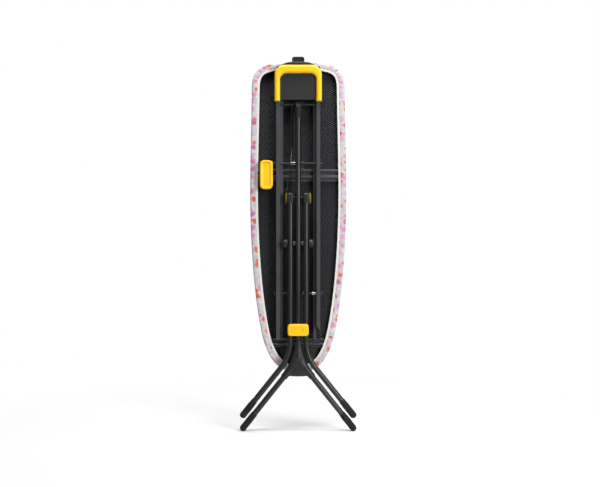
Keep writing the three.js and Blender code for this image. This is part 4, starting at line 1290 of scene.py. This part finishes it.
@dataclass
class RubberFoot:
    """A rubber foot pushed over a leg's end, with a stepped collar and grip rings."""

    length: float = 84.0
    collar: float = 14.0
    tube: float = 11.2
    rings: int = 4

    def profile(self) -> Outline:
        """The section from the toe's tip to the collar's mouth, in metres."""
        radius = SPLAY.foot_radius * MM
        points = [(0, 0)]
        for step in range(1, 9):
            turn = math.pi / 2 * step / 8
            points.append((radius * math.sin(turn), radius * (1 - math.cos(turn))))
        along = 22.0
        for _ in range(self.rings):
            for out, ahead in ((0, 0), (-0.5, 0.7), (-0.5, 1.7), (0, 2.4)):
                points.append((radius + out * MM, (along + ahead) * MM))
            along += 5.0
        step_at = self.length - self.collar
        points += [(radius, (step_at - 3) * MM), (radius - 0.25 * MM, (step_at - 1) * MM)]
        points += [(radius - 0.8 * MM, step_at * MM), (radius - 0.8 * MM, (self.length - 1.0) * MM)]
        points.append((radius - 1.2 * MM, self.length * MM))
        points += [(self.tube * MM, self.length * MM), (self.tube * MM, 14 * MM), (0, 14 * MM)]
        return points

    def build(self, leg: str) -> None:
        """Builds the two feet of a leg, each with a flat sole."""
        node = f"{leg}_foot"
        span, toe = Span.of(f"{node}_right"), SPLAY.toe(f"{node}_right")
        for side, sign in SIDES.items():
            shape = lathe(self.profile(), toe + SPLAY.down * SPLAY.foot_radius * MM, -SPLAY.down, 40)
            sole = bmesh.ops.bisect_plane(
                shape, geom=shape.verts[:] + shape.edges[:] + shape.faces[:],
                plane_co=(0, 0, span.low.z), plane_no=(0, 0, -1), clear_outer=True,
            )["geom_cut"]
            rim = [item for item in sole if isinstance(item, bmesh.types.BMEdge)]
            bmesh.ops.holes_fill(shape, edges=rim, sides=0)
            shape = mirrored(shape, sign)
            piece(f"{node}_rubber_{side}", shape, leg, FOOT_RUBBER, [f"{node}_{side}"], even=False)


@dataclass
class LegA:
    """The single tube, its top bracket, its knuckle and its foot tubes."""

    radius: float = 11.0
    voxel: float = 1.8
    bell_power: float = 0.86
    # the bell's sections, in millimetres: height, half its width, half its depth
    bell_sections: tuple = (
        (357.0, 14.0, 14.0), (342.0, 15.0, 14.2), (322.0, 18.5, 14.3), (303.0, 23.5, 14.2),
        (285.0, 29.0, 14.0), (270.0, 34.5, 13.8), (256.0, 40.5, 13.6), (242.0, 47.5, 13.4),
        (230.0, 50.0, 13.2), (222.0, 46.0, 12.6), (218.0, 40.0, 11.0), (216.0, 32.0, 8.0),
        (214.8, 18.0, 4.0),
    )

    def tube(self) -> None:
        """The straight tube."""
        span = Span.of("leg_a_tube")
        start = Vector((0, span.centre.y, span.low.z))
        shape = lathe(rounded_profile(self.radius * MM, span.size.z, 0.8 * MM), start, UP, 44)
        piece("leg_a_main_tube", shape, "leg_a", CHARCOAL_TUBE, ["leg_a_tube"], even=False)

    def foot_tubes(self) -> None:
        """The two splayed tubes between the knuckle and the feet."""
        toe = SPLAY.toe("leg_a_foot_right")
        span = Span.of("leg_a_foot_tube_right")
        for side, sign in SIDES.items():
            length = (span.high.z - toe.z) / math.cos(SPLAY.angle) - 4 * MM
            shape = lathe(rounded_profile(self.radius * MM, length, 0.8 * MM), toe, -SPLAY.down, 44)
            shape = mirrored(shape, sign)
            replaced = [f"leg_a_foot_tube_{side}"]
            piece(f"leg_a_splay_{side}", shape, "leg_a", CHARCOAL_TUBE, replaced, even=False)

    def knuckle(self) -> None:
        """The bell-shaped moulding that joins the tube to its two foot tubes."""
        span = Span.of("leg_a_knuckle")
        toe = SPLAY.toe("leg_a_foot_right")
        y = span.centre.y
        corner = Vector((0, y, toe.z + toe.x / math.tan(SPLAY.angle)))
        whole = bmesh.new()
        neck = [(0, 0), (19 * MM, 0), (17.5 * MM, 20 * MM), (15.2 * MM, 45 * MM), (14 * MM, 62 * MM)]
        top = span.high.z - corner.z
        neck += [(13.8 * MM, top - 1.5 * MM), (13 * MM, top), (0, top)]
        merge_into(whole, lathe(neck, corner, UP, 40))
        reach = 93 * MM
        for sign in SIDES.values():
            sleeve = lathe(rounded_profile(14.2 * MM, reach, 1.4 * MM), corner, SPLAY.down, 40)
            merge_into(whole, mirrored(sleeve, sign))
        rings = []
        for z, half_width, half_depth in self.bell_sections:
            ring = []
            for x, depth in circle(1.0, 48):
                across = math.copysign(abs(x) ** self.bell_power, x) * half_width
                forward = math.copysign(abs(depth) ** self.bell_power, depth) * half_depth
                ring.append((across * MM, y + forward * MM, z * MM))
            rings.append(ring)
        merge_into(whole, loft(rings))
        made = piece("knuckle_moulding", whole, "leg_a", BLACK_PLASTIC, ["leg_a_knuckle"], even=False)
        skin = made.modifiers.new("one_skin", "REMESH")
        skin.mode = "VOXEL"
        skin.voxel_size = self.voxel * MM
        skin.use_smooth_shade = True
        soften = made.modifiers.new("soften", "SMOOTH")
        soften.factor = 0.5
        soften.iterations = 40

    def bracket(self) -> None:
        """The funnel at the top of the tube, with an arm and an eye round the heel axle."""
        span, axle = Span.of("leg_a_bracket"), Span.of("heel_axle")
        y = Span.of("leg_a_tube").centre.y
        socket = [(0, 0), (12.4, 0), (12.9, 1), (13.2, 20), (14, 36), (13.2, 39.4), (0, 40)]
        socket = [(radius * MM, along * MM) for radius, along in socket]
        funnel = lathe(socket, Vector((0, y, span.low.z)), UP, 40)
        start = Vector((span.low.x + 2 * MM, axle.centre.y, axle.centre.z))
        eye = lathe(bored_profile(12 * MM, 4.2 * MM, span.high.x - start.x, 1.5 * MM), start, ACROSS, 40)
        arm = bmesh.new()
        bmesh.ops.create_cube(arm, size=1)
        bmesh.ops.scale(arm, vec=(18 * MM, 30 * MM, 20 * MM), verts=arm.verts[:])
        lean = Matrix.Rotation(math.radians(-38), 4, ACROSS)
        middle = Vector((0, (y + axle.centre.y) / 2, axle.centre.z - 14 * MM))
        arm.transform(Matrix.Translation(middle) @ lean)
        bmesh.ops.bevel(
            arm, geom=arm.edges[:], offset=2.5 * MM, segments=3, profile=0.5, affect="EDGES", material=-1
        )
        # The bracket takes the matt plastic whose darker colour is painted shade.
        piece("leg_a_top_bracket", joined(funnel, eye, arm), "leg_a", SHADE_DARKENED_NYLON, ["leg_a_bracket"])

    def build(self) -> None:
        """Builds leg A."""
        self.tube()
        self.foot_tubes()
        self.knuckle()
        self.bracket()
        RubberFoot().build("leg_a")


@dataclass
class LegB:
    """The twin tubes with their lugs, elbow, scissor axle and lock."""

    radius: float = 11.0
    bend: float = 170.0
    bend_steps: int = 16

    def tube_path(self) -> list[Vector]:
        """The right-hand tube's path: straight, bent outwards, then straight to the foot."""
        span, toe = Span.of("leg_b_tube_right"), SPLAY.toe("leg_b_foot_right")
        x = span.low.x + self.radius * MM
        corner = toe.z + (toe.x - x) / math.tan(SPLAY.angle)
        bend = self.bend * MM
        tangent = corner + bend * math.tan(SPLAY.angle / 2)
        path = [Vector((x, toe.y, span.high.z - 0.5 * MM)), Vector((x, toe.y, tangent + 4 * MM))]
        for step in range(self.bend_steps + 1):
            turn = SPLAY.angle * step / self.bend_steps
            path.append(Vector((x + bend * (1 - math.cos(turn)), toe.y, tangent - bend * math.sin(turn))))
        path += [path[-1] + SPLAY.down * 4 * MM, toe]
        return path

    def lug(self) -> Shape:
        """The right-hand lug: a soft block that closes the tube and reaches back to the elbow pin."""
        span, pin = Span.of("leg_b_lug_right"), Span.of("elbow_pin_right")
        front, corner, eye = span.low.y, 11 * MM, 12 * MM
        outline = [(front, span.low.z), (pin.centre.y - 6 * MM, span.low.z)]
        outline += arc((pin.centre.y, pin.centre.z), eye, -1, 1, 12)
        outline += arc((front + corner, span.high.z - corner), corner, 1, 2, 8)
        shape = plate(outline, -span.low.x, -span.high.x, 5.5 * MM, 5.5 * MM, 6)
        shape.transform(Matrix.Rotation(math.pi / 2, 4, UP))
        return shape

    def disc(self) -> Shape:
        """The right-hand elbow disc: a knob whose face falls away from a thin rim."""
        span = Span.of("elbow_disc_right")
        radius, thick = span.size.z / 2, span.size.x
        profile = [(0, 0), (radius - 0.6 * MM, 0), (radius, 0.6 * MM), (radius, 1.4 * MM)]
        for step in range(1, 9):
            turn = math.pi / 2 * step / 8
            along = 1.4 * MM + (thick - 1.4 * MM) * math.sin(turn)
            profile.append((radius - 10 * MM * (1 - math.cos(turn)), along))
        profile += [(radius - 12 * MM, thick - 0.8 * MM), (0, thick - 1.6 * MM)]
        return lathe(profile, span.left_end, ACROSS, 56)

    def turned(self, node: str, profile: Outline) -> Shape:
        """A turned piece along X that starts at a right-hand node's inner face."""
        return lathe(profile, Span.of(node).left_end, ACROSS, 40)

    def scissor(self) -> None:
        """The scissor axle, its spacers and the caps on its ends."""
        rod_along_x("scissor_axle_rod", "scissor_axle", "leg_b")
        spacer, cap = Span.of("scissor_spacer_right"), Span.of("scissor_cap_right")
        ring = bored_profile(spacer.size.z / 2, 6.2 * MM, spacer.size.x, 1.1 * MM)
        radius, length = cap.size.z / 2, cap.size.x
        dome = [(6.2 * MM, 0), (radius - 1 * MM, 0), (radius, 1 * MM), (radius, length * 0.45)]
        for step in range(1, 9):
            turn = math.pi / 2 * step / 8
            along = length * 0.45 + length * 0.55 * math.sin(turn)
            dome.append((radius - 9 * MM * (1 - math.cos(turn)), along))
        dome.append((0, length))
        for side, sign in SIDES.items():
            shape = mirrored(self.turned("scissor_spacer_right", ring), sign)
            piece(f"scissor_washer_{side}", shape, "leg_b", DARK_STEEL, [f"scissor_spacer_{side}"])
            shape = mirrored(self.turned("scissor_cap_right", dome), sign)
            piece(f"scissor_end_{side}", shape, "leg_b", BLACK_PLASTIC, [f"scissor_cap_{side}"])

    def lock(self) -> None:
        """The yellow bridge across the twin tubes, with a well for its button."""
        span = Span.of("leg_lock")
        outline = rounded_rectangle(span.low.x, span.high.x, span.low.z, span.high.z, 12 * MM, 10)
        face = span.low.y
        back = face + 14 * MM
        rings = rounded_rims(outline, back, face, 2 * MM, 6 * MM, (6, 7))
        button = Span.of("lock_button")
        gap = 0.3 * MM
        sides = (button.low.x - gap, button.high.x + gap, button.low.z - gap, button.high.z + gap)
        well = rounded_rectangle(*sides, 8 * MM, 10)
        lip = inset(well, -1.2 * MM)
        rings.append([(x, face, z) for x, z in lip])
        rings.append([(x, face + 1.2 * MM, z) for x, z in well])
        rings.append([(x, face + 9 * MM, z) for x, z in well])
        saddles = [loft(rings)]
        for sign in SIDES.values():
            low, high = span.low.z + 6 * MM, span.high.z - 6 * MM
            lug = rounded_rectangle(13.5 * MM, 19.5 * MM, low, high, 2 * MM, 4)
            saddle = plate(lug, span.high.y, back - 0.5 * MM, 1 * MM, 0.2 * MM, 3)
            saddles.append(mirrored(saddle, sign))
        piece("leg_lock_bridge", joined(*saddles), "leg_b", YELLOW_PLASTIC, ["leg_lock"])

    def button(self) -> None:
        """The oblong button in the lock, slightly hollowed for a thumb."""
        span = Span.of("lock_button")
        outline = rounded_rectangle(span.low.x, span.high.x, span.low.z, span.high.z, 7.9 * MM, 10)
        shape = dished_plate(outline, span.high.y, span.low.y, 0.8 * MM, 4 * MM, 0.9 * MM)
        piece("lock_button_cap", shape, "lock_button", YELLOW_PLASTIC, ["lock_button"])

    def build(self) -> None:
        """Builds leg B, its lock and the lock's button."""
        pin = Span.of("elbow_pin_right")
        for side, sign in SIDES.items():
            tube = sweep(self.tube_path(), circle(self.radius * MM, 44), ONWARD)
            tube = mirrored(tube, sign)
            replaced = [f"leg_b_tube_{side}"]
            piece(f"leg_b_twin_tube_{side}", tube, "leg_b", CHARCOAL_TUBE, replaced, even=False)
            lug = mirrored(self.lug(), sign)
            piece(f"leg_b_top_lug_{side}", lug, "leg_b", BLACK_PLASTIC, [f"leg_b_lug_{side}"])
            knob = mirrored(self.disc(), sign)
            # The knobs take the darkened yellow, which is painted shade.
            piece(f"elbow_knob_{side}", knob, "leg_b", SHADED_YELLOW_PLASTIC, [f"elbow_disc_{side}"])
            stub = self.turned("elbow_pin_right", rounded_profile(pin.size.z / 2, pin.size.x, 0.7 * MM))
            piece(f"elbow_stub_{side}", mirrored(stub, sign), "leg_b", DARK_STEEL, [f"elbow_pin_{side}"])
        self.scissor()
        self.lock()
        self.button()
        RubberFoot().build("leg_b")


@dataclass
class UpperLink:
    """The two flat bars and the tie between them."""

    def build(self) -> None:
        """Dresses the bars and the tie."""
        for side in SIDES:
            dress_node(f"link_bar_{side}", CHARCOAL_TUBE, 0.8)
        dress_node("link_tie", CHARCOAL_TUBE, 0.8)


# ---- studio ----------------------------------------------------------------------------------
@dataclass
class Studio:
    """The camera, the lights and the floor."""

    distance: float = 4.5
    lens: float = 67.5
    eye_height: float = 0.7393
    eye_offset: float = 0.0072

    def camera(self) -> None:
        """A level camera, square to the board."""
        made = bpy.data.objects.new("camera", bpy.data.cameras.new("camera"))
        made.data.lens = self.lens
        made.data.clip_end = 50
        made.location = (self.eye_offset, BED_Y - self.distance, self.eye_height)
        made.rotation_euler = (math.pi / 2, 0, 0)
        bpy.context.scene.collection.objects.link(made)
        bpy.context.scene.camera = made

    def softbox(
        self, name: str, place: Point, target: Point, size: tuple[float, float], power: float
    ) -> None:
        """A rectangular light that faces a target.

        Args:
            name: The light's name.
            place: Where it hangs.
            target: What it faces.
            size: Its width and height.
            power: Its power in watts.
        """
        lamp = bpy.data.lights.new(name, "AREA")
        lamp.shape = "RECTANGLE"
        lamp.size, lamp.size_y = size
        lamp.energy = power
        made = bpy.data.objects.new(name, lamp)
        made.location = place
        made.rotation_euler = (Vector(target) - Vector(place)).to_track_quat("-Z", "Y").to_euler()
        bpy.context.scene.collection.objects.link(made)

    def floor(self) -> None:
        """A pale floor that fades into the backdrop."""
        shape = bmesh.new()
        bmesh.ops.create_circle(shape, cap_ends=True, radius=4.0, segments=64)
        mesh = bpy.data.meshes.new("floor")
        shape.to_mesh(mesh)
        shape.free()
        made = bpy.data.objects.new("floor", mesh)
        bpy.context.scene.collection.objects.link(made)
        paint = bpy.data.materials.new("floor_paint")
        paint.use_nodes = True
        tree = paint.node_tree
        tree.nodes.clear()
        matt = add_node(tree, "BsdfDiffuse", {"Color": linear("#f3f3f3")})
        clear = add_node(tree, "BsdfTransparent")
        place = add_node(tree, "TexCoord").outputs["Object"]
        reach = add_node(tree, "VectorMath", {0: place}, operation="LENGTH").outputs["Value"]
        fade = add_range(tree, reach, 0.35, 1.6, 0.0, 1.0)
        mixed = add_node(tree, "MixShader", {0: fade, 1: matt.outputs[0], 2: clear.outputs[0]})
        add_node(tree, "OutputMaterial", {"Surface": mixed.outputs[0]})
        mesh.materials.append(paint)

    def world(self) -> None:
        """A white backdrop that lights the object only a little."""
        world = bpy.data.worlds.new("studio")
        world.use_nodes = True
        tree = world.node_tree
        tree.nodes.clear()
        seen = add_node(tree, "LightPath").outputs["Is Camera Ray"]
        strength = add_range(tree, seen, 0.0, 1.0, 0.1, 1.0)
        sky = add_node(tree, "Background", {"Color": linear("#ffffff"), "Strength": strength})
        add_node(tree, "OutputWorld", {"Surface": sky.outputs[0]})
        bpy.context.scene.world = world

    def build(self) -> None:
        """Sets up the studio."""
        self.camera()
        self.world()
        self.floor()
        middle = (0, 0, self.eye_height)
        self.softbox("key_right", (2.1, -2.9, 1.5), middle, (1.5, 2.2), 108)
        self.softbox("overhead", (0.35, -0.35, 3.3), (0.1, 0, 0), (2.2, 1.4), 88)
        self.softbox("fill_left", (-2.6, -2.4, 1.2), middle, (1.4, 2.2), 10)
        self.softbox("behind_left", (-1.8, 2.6, 2.2), middle, (1.6, 1.8), 40)
        self.softbox("behind_right", (2.2, 2.3, 1.6), middle, (1.4, 1.8), 28)
        bpy.context.scene.view_settings.view_transform = "Standard"


def main() -> None:
    """Builds the object and the studio."""
    logging.basicConfig(level=logging.INFO, format="%(name)s: %(message)s")
    Studio().build()
    board = (PaddedTop(), Bed(), HeelEnd(), CrossRods(), ReturnSpring())
    moving = (IronRest(), Lever(), LegA(), LegB(), UpperLink())
    for assembly in board + moving:
        assembly.build()
        LOG.info("%s is in place", type(assembly).__name__)
    bpy.context.view_layer.update()


if __name__ == "__main__":
    main()
